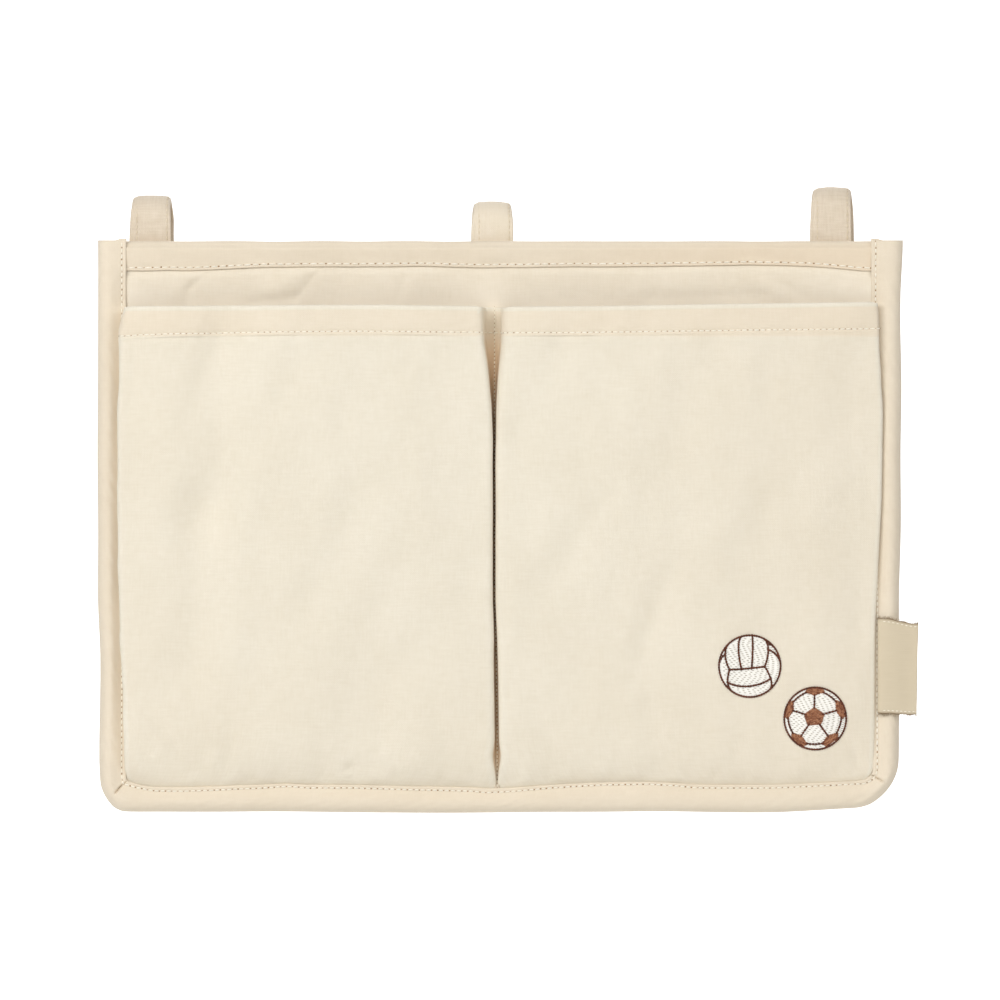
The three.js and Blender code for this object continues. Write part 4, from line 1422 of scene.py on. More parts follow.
    def filling(
        self, inner: Array, outer: Array, mitre: Array, room: Array, plump: Array, along: Array
    ) -> None:
        """Makes the roll of filling inside the binding.

        Args:
            inner: The edge's inner points.
            outer: Its outer points.
            mitre: Distances from the nearest mitre's fold.
            room: The front flange's room at each station.
            plump: How full the binding is at each station.
            along: Distances along the edge.
        """
        inside = LAY.edge_cloth + LAY.gap
        start = (Panel.in_edge + LAY.gap) / LAY.edge
        own = mix(start, 1 - (inside + 0.3) / LAY.edge, np.sin(np.linspace(0, math.pi / 2, 15)))
        matted = Ripples(25, 9)
        halves = []
        for bulge, extra, facing in ((self.front_bulge, room, -1), (self.back_bulge, 0.0, 1)):
            flat = LAY.edge_half + extra
            depth = self.depth(own[None, :] + 0 * plump, flat, bulge * plump) - inside
            depth = depth - 1.2 * self.crease(mitre, own)
            depth = np.maximum(depth - 0.35, 0.05) * np.minimum(1, (1 - own) * 9 + 0.02)
            depth = depth + 0.1 * matted(along[:, None], own * 20)
            place = inner[:, None, :] + (outer - inner)[:, None, :] * own[None, :, None]
            place = self.drawn_in(place, smooth(own, 0.2, 0.85))
            y = LAY.middle_y + facing * np.maximum(depth, 0.05)
            halves.append(joined(place[..., 0], y, place[..., 1]))
        ring = lie(np.concatenate([halves[0], halves[1][:, ::-1]], axis=1)[2:-2:2])
        made = closed_roll("edge_filling", ring, ring[..., [0, 2]], np.zeros(ring.shape[:2]))
        STUFFING.dress(made, ROOT, ["edge_filler"])


class TopBinding:
    """The strip folded over the top edge, with the straps' ends caught in its seam."""

    cloth: float = 0.8
    half_width: float = 199.4
    stitch_above: float = 1.75
    strap_bands: tuple[tuple[float, float], ...] = ((-181.9, 0.3), (-3.3, 0.55), (173.9, 0.3))
    edge_x: tuple[float, ...] = (
        -194, -171, -153, -146, -128, -104, -57, -39, -18.5, 0, 35, 70, 105, 133, 151, 168, 180, 194,
    )
    edge_z: tuple[float, ...] = (
        -24.1, -23.9, -23.8, -23.3, -22.4, -22.0, -21.9, -21.6, -22.4,
        -22.4, -22.0, -21.9, -21.4, -21.0, -21.3, -22.0, -23.2, -24.3,
    )

    @classmethod
    def lower_edge(cls, x: Array) -> Array:
        """The height of the strip's lower edge."""
        near = [np.interp(x + shift, cls.edge_x, cls.edge_z) for shift in (-7, -3.5, 0, 3.5, 7)]
        return np.mean(near, axis=0) - 0.1 * Ripples(31, 24)(x)

    def build(self) -> None:
        """Makes the strip and its two rows of stitches."""
        x = np.linspace(-self.half_width, self.half_width, 330)
        radius = LAY.stack / 2 + LAY.gap + self.cloth
        arch_z = LAY.top_z - radius
        hem = self.lower_edge(x)
        above = np.array([0.0, 0.25, 0.6, 1.0, 1.4, 1.75, 2.1, 2.6, 3.4, 4.6, 5.8, 7.0, 8.2, 9.2])
        turn = np.linspace(0, math.pi, 15)[1:-1]
        stretch = above * (arch_z - hem[:, None]) / above[-1]
        flat_z = hem[:, None] + stretch * (above > 4) + above * (above <= 4)
        puff, tiny = Ripples(32, 30, 0.2, 0.8), Ripples(33, 6.5, 0.0, 0.5)
        groove = 0.42 * hump(above, self.stitch_above, 0.9)
        fold = np.interp(above, [0, 0.25, 0.7, 1.2, 4], [-0.4, 0.05, 0.32, 0.34, 0.12])
        live = smooth(above, 2.4, 5)
        band = sum(rise * np.exp(-(((x - at) / 9.5) ** 6)) for at, rise in self.strap_bands)
        skins = []
        for facing, seed in ((-1, 0), (1, 40)):
            swell = (
                fold - groove + live * 0.35 * puff(x[:, None] + seed, flat_z)
                + 0.07 * tiny(x[:, None] + seed, flat_z) * smooth(above, 0.5, 2)
                + (band[:, None] * live if facing < 0 else 0) + 0.9 * smooth(above, 2.6, 9.2)
            )
            y = LAY.middle_y + facing * (radius + swell * np.where(swell > 0, 1.0, 0.8))
            skins.append(joined(x[:, None], y, flat_z))
        front, back = skins
        rise = 1 + 0.04 * puff(x * 0.7)[:, None] * np.sin(turn)
        over = joined(x[:, None], LAY.middle_y - radius * np.cos(turn), arch_z + radius * np.sin(turn) * rise)
        outer = np.concatenate([front, over, back[:, ::-1]], axis=1)
        uv = joined(lengths(outer), x[:, None])
        skin = Skin(outer, uv)
        sign = np.sign(skin.normals[len(x) // 2, 3, 1])
        inside = skin.moved(sign * self.cloth)
        wear_and_painted_light = 0.35 * hump(np.arange(outer.shape[1]), outer.shape[1] / 2, 5)[None, :]
        # Painted shade: the strip's right half is darkened and warmed towards the painted shade colour.
        wear_and_painted_light = wear_and_painted_light - 0.26 * smooth(x, 0, 150)[:, None]
        made = closed_sheet("top_binding_cloth", outer, inside, uv, wear_and_painted_light)
        BINDING_CLOTH.dress(made, ROOT, ["top_binding"])
        row = int(np.argmin(np.abs(above - self.stitch_above)))
        for name, face, facing, seed in (("front", front, -1.0, 11), ("rear", back, 1.0, 12)):
            paths = [faced(face[6:-6, row], facing)]
            TOP_STITCH.sew(f"top_binding_stitches_{name}", paths, SEAM_THREAD, seed=seed)


class PocketSheet:
    """The one pleated sheet that makes both pockets, with its hem and seams."""

    tuck: float = 4.5
    belly: float = 8.5
    belly_rise: float = 8.0
    mouth_depth: float = 16.0
    crown: float = 3.4
    crown_rise: float = 26.0
    knee: float = 4.4
    wall_flat: float = 1.4
    wall_stands: float = 14.0
    root_half: float = 1.3
    fold_half: float = 1.05
    gapes: tuple[float, float] = (5.4, 3.8)
    gape_drops: tuple[float, ...] = (0, 10, 19, 27, 35.5, 44, 52, 62, 74)
    gape_shares: tuple[float, ...] = (1, 0.96, 0.9, 0.65, 0.42, 0.26, 0.12, 0.05, 0)
    lean_heights: tuple[float, ...] = (-262, -238, -217, -196)
    leans: tuple[float, ...] = (0.0, -0.4, -0.6, -1.4)
    outer_shares: tuple[float, float] = (0.85, 0.5)
    wider: tuple[float, float] = (0.5, 0.0)
    outer_rounds: tuple[float, float] = (3.0, 5.5)
    inner_rounds: tuple[float, float] = (2.0, 5.0)
    root_round: float = 1.2
    root_pinch: float = 0.62
    low_widening: float = 0.45
    pleat_widening: float = 1.1
    edge_heights: tuple[float, ...] = (
        -300, -291, -276, -262, -244, -223, -206, -190, -175, -143, -97, -81, -65, -55, -48, -42,
    )
    left_edge: tuple[float, ...] = (
        195.3, 195.4, 195.8, 196.2, 196.9, 198.2, 198.9, 199.4,
        199.8, 200.0, 199.9, 199.0, 198.9, 198.8, 197.3, 195.4,
    )
    right_edge: tuple[float, ...] = (
        194.9, 195.0, 195.5, 195.9, 195.9, 195.9, 196.4, 197.4,
        198.4, 200.4, 201.2, 199.9, 198.9, 198.6, 198.4, 197.7,
    )
    hem_stitch: float = 2.1
    front_steps: int = 112
    folds: tuple[Fold, ...] = Fold.table(
        (-142, -60, -151, -150, 16, 3.4), (-151, -150, -160, -232, 16, 3.2),
        (-118, -104, -134, -150, 9, -0.8, 1.8), (-134, -150, -142, -226, 9, -1.0, 1.8),
        (-104, -72, -125, -118, 9, 1.0, 1.7), (-72, -140, -100, -200, 10, 0.9, 1.7),
        (-60, -150, -84, -214, 9, -0.6, 1.8), (-38, -212, -70, -262, 12, 0.9, 1.7),
        (-71, -240, -98, -291, 15, 1.1), (-150, -62, -158, -92, 7, 0.9, 1.6),
        (-195, -258, -182, -275, 1.9, 0.75, 1.5), (-190, -255, -176, -273, 3.6, -0.5, 1.8),
        (-176, -262, -160, -286, 4.5, 0.5, 1.6), (-139, -266, -144, -290, 3.6, 0.6, 1.6),
        (-146, -268, -152, -290, 4.2, -0.5, 1.8), (-77, -282, -90, -292, 1.9, 0.6, 1.5),
        (-49, -285, -57, -292, 1.8, 0.5, 1.5), (-60, -262, -66, -288, 7.0, 0.6, 1.7),
        (-34, -250, -22, -286, 7.0, 0.55, 1.7), (-36, -70, -28, -130, 12, 0.7),
        (91, -180, 71, -232, 9, 1.5, 1.7), (82, -176, 60, -236, 11, -0.7, 1.8),
        (79, -200, 44, -270, 20, 1.1), (54, -146, 24, -190, 12, 1.3, 1.7),
        (66, -140, 40, -186, 9, -0.6, 1.8), (2, -280, 6, -288, 2.4, 0.6, 1.6),
        (180, -75, 187, -210, 17, 1.1), (34, -64, 12, -112, 12, 0.9),
        (112, -66, 88, -128, 13, 0.8), (150, -120, 126, -176, 14, 0.7),
        (20, -252, 34, -287, 7, 0.55, 1.7), (78, -258, 88, -288, 7.5, 0.5, 1.7),
        (128, -262, 116, -288, 6.5, 0.5, 1.7), (176, -262, 188, -282, 5, 0.7, 1.6),
    )

    @property
    def tall(self) -> float:
        """The pocket's height over its bottom seam."""
        return LAY.mouth_z - LAY.seam_z

    def divider_x(self, z: Array | float) -> Any:
        """Where the seam between the pockets runs: it leans a little."""
        return LAY.divider + np.interp(z, self.lean_heights, self.leans)

    def fold_depth(self, height: float) -> float:
        """How far the fold lines stand in front of the panel."""
        lift = max(height, 0.0)
        near = self.belly * (1 - math.exp(-lift / self.belly_rise))
        return near + (self.mouth_depth - self.belly) * lift / self.tall

    def corners(self, side: int, z: float, edge_x: float) -> Array:
        """One pocket's corner points at a height, from its outer root to the divider."""
        number = 0 if side < 0 else 1
        height = z - LAY.seam_z
        depth = self.fold_depth(height)
        knee = min(self.knee, depth / 2)
        clear = LAY.gap + LAY.pocket_cloth / 2
        inner_x = abs(float(EDGE.side_x(side, max(z, LAY.seam_z), 0.0)))
        root = min(inner_x, abs(edge_x) - clear) - clear
        gape = self.gapes[number] * float(np.interp(self.tall - height, self.gape_drops, self.gape_shares))
        seam = side * self.divider_x(z)
        flat = self.wall_flat * (1 - float(smooth(height, 0, self.wall_stands)))
        outer = float(np.interp(z, self.edge_heights, (self.left_edge, self.right_edge)[number]))
        outer = mix(root - 0.2 * flat, outer, float(smooth(height, 0, 7)))
        narrow = mix(self.root_pinch, 1.0, float(smooth(height, 1, 11)))
        wide = self.low_widening * float(smooth(-z, 205, 235))
        wide += self.pleat_widening * float(hump(np.array(height), 14, 5))
        wide += self.wider[number]
        inner = seam + (self.fold_half + wide) * narrow + gape
        root_in = seam + self.root_half * narrow
        knee_in = mix(knee, min(knee, 1.6), min(gape / 3, 1))
        out = depth * self.outer_shares[number]
        places = [
            (root, 0), (mix(root, outer, 0.2), min(knee, out / 2)), (outer, out), (inner, depth),
            (mix(root_in, inner, 0.75), knee_in), (root_in, 0),
        ]
        return np.array([(side * x, LAY.pocket_y - forward) for x, forward in places])

    @staticmethod
    def bend(before: Array, corner: Array, after: Array, radius: float) -> Array:
        """The points of a rounded corner."""
        far = [np.linalg.norm(end - corner) for end in (before, after)]
        reach = min(radius, min(far) * 0.45)
        a, b = (corner + (end - corner) * reach / d for end, d in zip((before, after), far))
        t = np.linspace(0, 1, 9)[:, None]
        return (1 - t) ** 2 * a + 2 * t * (1 - t) * corner + t * t * b

    def line(self, side: int, z: float) -> tuple[Array, Array]:
        """One pocket's section at a height, from its outer tuck to the divider.

        Args:
            side: -1 for the left pocket, 1 for the right one.
            z: The height.

        Returns:
            The points, and the share across the front of each (0 and 1 on the walls).
        """
        edge_x = float(EDGE.side_x(side, z, self.tuck / LAY.edge))
        places = self.corners(side, z, edge_x)
        start, end = np.array([edge_x, LAY.pocket_y]), np.array([self.divider_x(z), LAY.pocket_y])
        chain = [start, *places, end]
        number = 0 if side < 0 else 1
        folds = (self.outer_rounds[number], self.inner_rounds[number])
        radii = [self.root_round, self.root_round, *folds, self.root_round, self.root_round]
        bends = [self.bend(chain[i], chain[i + 1], chain[i + 2], radii[i]) for i in range(6)]
        counts = [5, 5, 9, self.front_steps, 9, 5, 4]
        line = []
        for i, count in enumerate(counts):
            first = [start[None]] if i == 0 else [bends[i - 1][4:]]
            last = [end[None]] if i == 6 else [bends[i][:5]]
            piece = np.concatenate(first + last)
            run = lengths(piece)
            even = np.linspace(0, 1, count + 1)
            if i == 3:
                even = mix(even, 0.5 - 0.5 * np.cos(even * math.pi), 0.35)
            wanted = even[: -1 if i < 6 else None] * run[-1]
            line.append(joined(*(np.interp(wanted, run, values) for values in piece.T)))
        points = np.concatenate(line)
        outer, inner = places[2][0], places[3][0]
        share = np.clip((points[:, 0] - outer) / (inner - outer), 0, 1)
        on_front = np.zeros(len(points))
        on_front[sum(counts[:3]) : sum(counts[:4])] = 1
        return points, np.where(on_front > 0, share, 0)

    def surface(self) -> tuple[Skin, Array, Array]:
        """The sheet's middle surface.

        Returns:
            The skin, its rows' heights before the cloth's lie is added, and each point's share across
            its front.
        """
        seam, hem = LAY.seam_z, LAY.mouth_z - LAY.hem
        rows = spread(
            (LAY.inner_z - self.tuck, 1), (seam, 2), (seam + 16, 1.05), (seam + 48, 2.1), (hem - 34, 3.6),
            (hem - 5, 2.2), (hem - 0.8, 0.8), (hem + 1.0, 0.3), (hem + 3.4, 0.5), (LAY.mouth_z - 1.2, 1.7),
        )
        grid, fronts, runs = [], [], []
        for z in rows:
            left, left_front = self.line(-1, float(z))
            right, right_front = self.line(1, float(z))
            xy = np.concatenate([left, right[-2::-1]])
            grid.append(joined(xy[:, 0], xy[:, 1], z))
            fronts.append(np.concatenate([left_front, right_front[-2::-1]]))
            run = lengths(xy)
            runs.append(run - run[len(left) - 1])
        points, front, run = np.array(grid), np.array(fronts), np.array(runs)
        x, z = points[..., 0], points[..., 2]
        height = z - seam
        risen = np.maximum(height, 0)
        bow = np.sin(math.pi * front)
        crown = self.crown * (1 - np.exp(-risen / self.crown_rise))
        free = smooth(height, 0, 9)
        drape, small = Ripples(41, 54, -0.4, 0.55), Ripples(42, 19, -0.3, 0.6)
        under_hem, at_seam = Ripples(43, 10, 0.0, 0.22), Ripples(44, 12.5, 0.0, 0.3)
        on = smooth(bow, 0.0, 0.16)
        mouthwards = smooth(height, self.tall - 60, self.tall)
        out = crown * bow - 1.35 * free * on * sink_of(self.folds, x, z)
        out = out + free * on * (0.7 * drape(x, z) + 0.2 * small(x, z))
        out = out - free * (0.8 * smooth(x, 166, 199) + 1.3 * smooth(x, 187, 199))
        out = out + on * 0.2 * under_hem(x, z) * np.exp(-np.abs(z - hem + 3) / 9) * (z < hem + 6)
        out = out + on * 0.6 * at_seam(x, z * 0.4) * np.exp(-risen / 8) * smooth(height, 0, 3.5)
        lip = smooth(Ripples(49, 52)(x), -0.2, 0.5) * np.exp(-risen / 2.5) * smooth(height, -0.6, 0.6)
        out = out + on * 1.1 * lip
        out = out + on * mouthwards * 0.5 * Ripples(45, 88, 0.0, 0.25)(x)
        points[..., 1] -= out
        walls = (front == 0) * smooth(height, 10, 40) * smooth(LAY.pocket_y - points[..., 1], 1.5, 5)
        buckle = Ripples(46, 30, math.pi / 2, 0.4)
        points[..., 0] += walls * 0.4 * buckle(x * 0.3, z) * np.where(np.abs(x) > 60, 1.0, 0.35)
        lift = np.interp(x, [-200, -60, -3, 2, 200], [0.2, 0.5, -0.3, -0.6, 2.1])
        lift = lift + 0.25 * Ripples(47, 75)(x)
        dip = -2.4 * np.exp(-np.maximum(x + 199, 0) / 34) * hump(z, hem, 11)
        points[..., 2] += lift * mouthwards + dip
        uv = joined(run, z)
        return Skin(lie(points), uv), rows, front

    def build(self) -> bpy.types.Object:
        """Makes the sheet and sews its hem and divider.

        Returns:
            The sheet.
        """
        skin, rows, front = self.surface()
        hem, half = LAY.mouth_z - LAY.hem, LAY.pocket_cloth / 2
        z, line = rows[:, None], self.hem_stitch
        x, y, up = (skin.points[..., i] for i in range(3))
        free = smooth(LAY.pocket_y - y, self.knee, self.knee + 3)
        free = free * smooth(np.minimum(front, 1 - front), 0.0, 0.02)
        doubled = np.sqrt(np.clip((z - hem) / 0.7, 0, 1)) * free
        shows = mix(0.2, 0.75, smooth(Ripples(48, 60)(x), -0.3, 0.7))
        groove = 0.36 * hump(z, hem + line, 0.85)
        swell = 0.2 * hump(z, hem + 5.5, 3.2) + 0.2 * hump(z, hem - 3.2, 2.2)
        outside = half + doubled * shows - groove * np.maximum(free, 0.3) + swell * free
        divider = hump(x, self.divider_x(z), 0.9) * (np.abs(y - LAY.pocket_y) < 0.5)
        outside = outside - 0.25 * divider
        inside = half + doubled * (LAY.pocket_cloth - shows)
        sign = -np.sign(skin.normals[len(rows) // 2, skin.points.shape[1] // 4, 1])
        near, far = skin.moved(sign * outside), skin.moved(-sign * inside)
        centre, reach = (near[-1] + far[-1]) / 2, (near[-1] - far[-1]) / 2
        rim_near, rim_far = [], []
        radius = np.linalg.norm(reach, axis=-1)
        for angle in np.radians([28, 54, 76]):
            rise = joined(0.0, 0.0, radius * math.sin(angle))
            rim_near.append(centre + reach * math.cos(angle) + rise)
            rim_far.append(centre - reach * math.cos(angle) + rise)
        near, far = np.concatenate([near, rim_near]), np.concatenate([far, rim_far])
        rim_uv = [skin.uv[-1] + [0, extra] for extra in (0.6, 1.0, 1.2)]
        uv = np.concatenate([skin.uv, rim_uv])
        wear_and_painted_light = self.wear_and_painted_light(rows, x, y, up, front)
        made = closed_sheet("pocket_cloth", near, far, uv, wear_and_painted_light)
        POCKET_CLOTH.dress(made, ROOT, ["pocket_sheet"])
        row = int(np.argmin(np.abs(rows - hem - line)))
        path, facing = near[row, 8:-8], sign * skin.normals[row, 8:-8]
        HEM_STITCH.sew("hem_stitches", [(path, facing)], SEAM_THREAD, seed=21)
        run = near[2 : len(rows), near.shape[1] // 2]
        DIVIDER_STITCH.sew("divider_stitches_front", [faced(run, -1.0)], SEAM_THREAD, seed=22)
        return made

    def wear_and_painted_light(self, rows: Array, x: Array, y: Array, up: Array, front: Array) -> Array:
        """Where the cloth is rubbed pale along its edges, and where painted shade darkens and warms it.

        Args:
            rows: The rows' heights before the cloth's lie is added.
            x: Each point's place across.
            y: Its depth.
            up: Its height.
            front: Its share across its front.

        Returns:
            Worn edges above 0 and painted shade below 0, with three more rows for the rim.
        """
        z, hem = rows[:, None], LAY.mouth_z - LAY.hem
        worn = 0.5 * np.concatenate([hump(rows, LAY.mouth_z, 2.0), [1, 1, 1]])[:, None]
        edge = np.maximum(hump(front, 0.0, 0.012), hump(front, 1.0, 0.012)) * (front > 0)
        wear_and_painted_light = worn + 0.25 * np.concatenate([edge, edge[-1:].repeat(3, 0)])
        # Painted shade in the pleats: strongest on the walls and floor of the gap at the divider, fading out
        # from it, up towards the mouth and where the cloth stands forward.
        inwards = np.clip(np.abs(x - self.divider_x(z)) - self.fold_half, 0, 40)
        depths = np.array([self.fold_depth(height) for height in rows - LAY.seam_z])[:, None]
        stands = (LAY.pocket_y - y) / np.maximum(depths, 0.1)
        high = mix(1.0, 0.12, smooth(z, hem - 14, LAY.mouth_z - 4))
        high = high * mix(0.3, 1.0, smooth(z, LAY.seam_z, LAY.seam_z + 18))
        painted_pleat_shade = (front == 0) * np.maximum(np.exp(-inwards / 14) * high, 0.2)
        painted_pleat_shade = painted_pleat_shade * (1 - smooth(stands, 0.45, 0.85))
        # More painted shade towards the pockets' outer sides, most on the right, and towards the bottom; and
        # a darker, warmer band along the hem, partly the doubled cloth and partly painted shade.
        painted_side_shade = 0.08 * smooth(np.abs(x + 45), 50, 240) + 0.05 * smooth(-up, 150, 300)
        painted_pleat_shade = np.maximum(painted_pleat_shade, painted_side_shade + 0.22 * smooth(up, hem - 0.5, hem + 0.5))
        painted_pleat_shade = np.concatenate([painted_pleat_shade, painted_pleat_shade[-1:].repeat(3, 0)])
        return np.where(wear_and_painted_light > painted_pleat_shade, wear_and_painted_light, -painted_pleat_shade)


class Ball(Enum):
    """The two embroidered sports balls."""

    VOLLEYBALL = "volleyball"
    FOOTBALL = "football"


@dataclass(frozen=True)
class Motif:
    """A ball drawn in thread: filled rows under satin-stitched seams."""

    ball: Ball
    centre: tuple[float, float]
    radius: float
    turns: tuple[float, float, float]
    row_angle: float = 0.0
    panel_share: float = 0.3
    seam_horizon: float = 0.13
    panel_horizon: float = 0.12
    rim_horizon: float = 0.05
    nearby: float = 2.1
    ray_from: float = -0.2

    def turned(self, points: Array) -> Array:
        """Points on the sphere, turned towards the viewer, who looks along -Z."""
        a, b, c = np.radians(self.turns)
        about_x = np.array([[1, 0, 0], [0, math.cos(a), -math.sin(a)], [0, math.sin(a), math.cos(a)]])
        about_y = np.array([[math.cos(b), 0, math.sin(b)], [0, 1, 0], [-math.sin(b), 0, math.cos(b)]])
        about_z = np.array([[math.cos(c), -math.sin(c), 0], [math.sin(c), math.cos(c), 0], [0, 0, 1]])
        return unit(np.asarray(points, float)) @ (about_z @ about_y @ about_x).T

    def seams(self) -> tuple[list[Array], list[Array]]:
        """The ball's seams and its dark panels.

        Returns:
            Lines and closed outlines on the sphere, as seen, in shares of the radius.
        """
        t = np.linspace(-1, 1, 41)
        lines, panels = [], []
        if self.ball is Ball.VOLLEYBALL:
            axes = np.eye(3)
            faces = {
                (2, 1): (-1, -0.24, 0.24, 1), (1, -1): (-1, 0.15, 1),
                (0, 1): (-1, 0.05, 0.5, 1), (0, -1): (-1, 0, 1),
            }
            for (i, s), shifts in faces.items():
                normal, along, across = axes[i], axes[(i + 2) % 3], axes[(i + 1) % 3]
                for shift in shifts:
                    lines.append(s * normal + t[:, None] * along + shift * across)
        else:
            golden = (1 + math.sqrt(5)) / 2
            tips = [np.roll((0, a, b * golden), k) for k in range(3) for a in (-1, 1) for b in (-1, 1)]
            for i, tip in enumerate(tips):
                near = [q for j, q in enumerate(tips) if j != i and np.linalg.norm(q - tip) < self.nearby]
                side = unit(np.cross(tip, near[0]))
                other = unit(np.cross(tip, side))
                near.sort(key=lambda q: math.atan2(float(q @ side), float(q @ other)))
                ring = [mix(tip, q, self.panel_share) for q in near]
                sides = zip(ring, ring[1:] + ring[:1])
                panels.append(np.array([mix(a, b, s) for a, b in sides for s in np.linspace(0, 1, 9)[:-1]]))
                share = mix(self.panel_share, 1 - self.panel_share, (t[:, None] + 1) / 2)
                lines += [mix(tip, q, share) for q in near if tuple(tip) < tuple(q)]
        seen = []
        for line in lines:
            at = self.turned(line)
            seen += [at[run, :2] for run in stretches(at[:, 2] > self.seam_horizon) if len(run) > 3]
        dark = []
        for outline in panels:
            at = self.turned(outline)
            if at[:, 2].max() > self.panel_horizon:
                flat = at[:, :2] / np.maximum(1, np.linalg.norm(at[:, :2], axis=1, keepdims=True))
                rim = at[:, 2] < self.rim_horizon
                flat[rim] = unit(flat[rim])
                dark.append(flat)
        return seen, dark

    @staticmethod
    def inside(points: Array, outline: Array) -> Array:
        """Which points lie inside an outline."""
        x, y = points[:, None, 0], points[:, None, 1]
        ax, ay = outline[:, 0], outline[:, 1]
        bx, by = np.roll(ax, -1), np.roll(ay, -1)
        straddles = (ay > y) != (by > y)
        with np.errstate(divide="ignore", invalid="ignore"):
            crossing = ax + (y - ay) * (bx - ax) / (by - ay)
        return (straddles & (x < crossing)).sum(1) % 2 == 1

    def rows(self, outline: Array, angle: float, pitch: float, shift: float = 0.0) -> list[Array]:
        """Rows of thread across an outline.

        Args:
            outline: The outline, in shares of the radius.
            angle: The rows' direction.
            pitch: How far apart they lie.
            shift: How much later each one begins, twice that for every second one.

        Returns:
            The rows, in millimetres from the motif's centre.
        """
        turn = np.array([[math.cos(angle), math.sin(angle)], [-math.sin(angle), math.cos(angle)]])
        rows = []
        step = 0.25
        reach = np.arange(-self.radius, self.radius, step)
        for k, offset in enumerate(np.arange(-self.radius, self.radius, pitch)):
            at = joined(reach, offset) @ turn
            for run in stretches(self.inside(at, outline * self.radius)):
                run = run[round(shift * (1 + k % 2) / step) :]
                if len(run) > 2:
                    rows.append(at[run[np.linspace(0, len(run) - 1, max(2, len(run) // 10)).astype(int)]])
        return rows

    def build(self, cloth: bpy.types.Object) -> None:
        """Embroiders the motif on the pocket.

        Args:
            cloth: The pocket sheet that it is stitched through.
        """
        tree = BVHTree.FromPolygons(
            [v.co[:] for v in cloth.data.vertices], [p.vertices[:] for p in cloth.data.polygons]
        )

        def on_cloth(flat: Array) -> tuple[Array, Array]:
            """Places in the motif's plane, laid on the cloth, with the cloth's normals."""
            places, facings = [], []
            for dx, dz in flat:
                spot = Vector(((self.centre[0] + dx) * MM, self.ray_from, (self.centre[1] + dz) * MM))
                hit, facing, _, _ = tree.ray_cast(spot, Vector((0, 1, 0)))
                places.append(np.array(hit) / MM)
                facings.append(-np.array(facing) if facing.y > 0 else np.array(facing))
            return np.array(places), np.array(facings)

        a = np.linspace(0, 2 * math.pi, 91)
        circle, name = joined(np.cos(a), np.sin(a)), self.ball.value
        seams, dark = self.seams()
        fill = [on_cloth(row) for row in self.rows(circle[:-1] * 0.985, self.row_angle, pitch=0.5)]
        FILL_STITCH.sew(f"{name}_white_rows", fill, WHITE_THREAD, seed=31)
        # Painted shade: short grey marks between the white rows, where the dimples lie in shade.
        shade_marks = self.rows(circle[:-1] * 0.93, self.row_angle, pitch=1.0, shift=1.25)
        shade_marks = [on_cloth(row) for row in shade_marks]
        FILL_SHADE_MARK.sew(f"{name}_row_dimple_shade", shade_marks, PAINTED_DIMPLE_SHADE, seed=34)
        outline = [on_cloth(line * self.radius) for line in [circle, *seams]]
        BACKSTITCH.sew(f"{name}_brown_seams", outline, BROWN_THREAD, seed=32)
        rows = []
        for panel in dark:
            middle = panel.mean(0)
            lean = 0.1 if np.linalg.norm(middle) < 0.3 else math.atan2(*(middle * (-1, 1)))
            rows += [on_cloth(row) for row in self.rows(panel, lean, pitch=0.42)]
        if rows:
            PANEL_STITCH.sew(f"{name}_brown_panels", rows, PANEL_THREAD, seed=33)


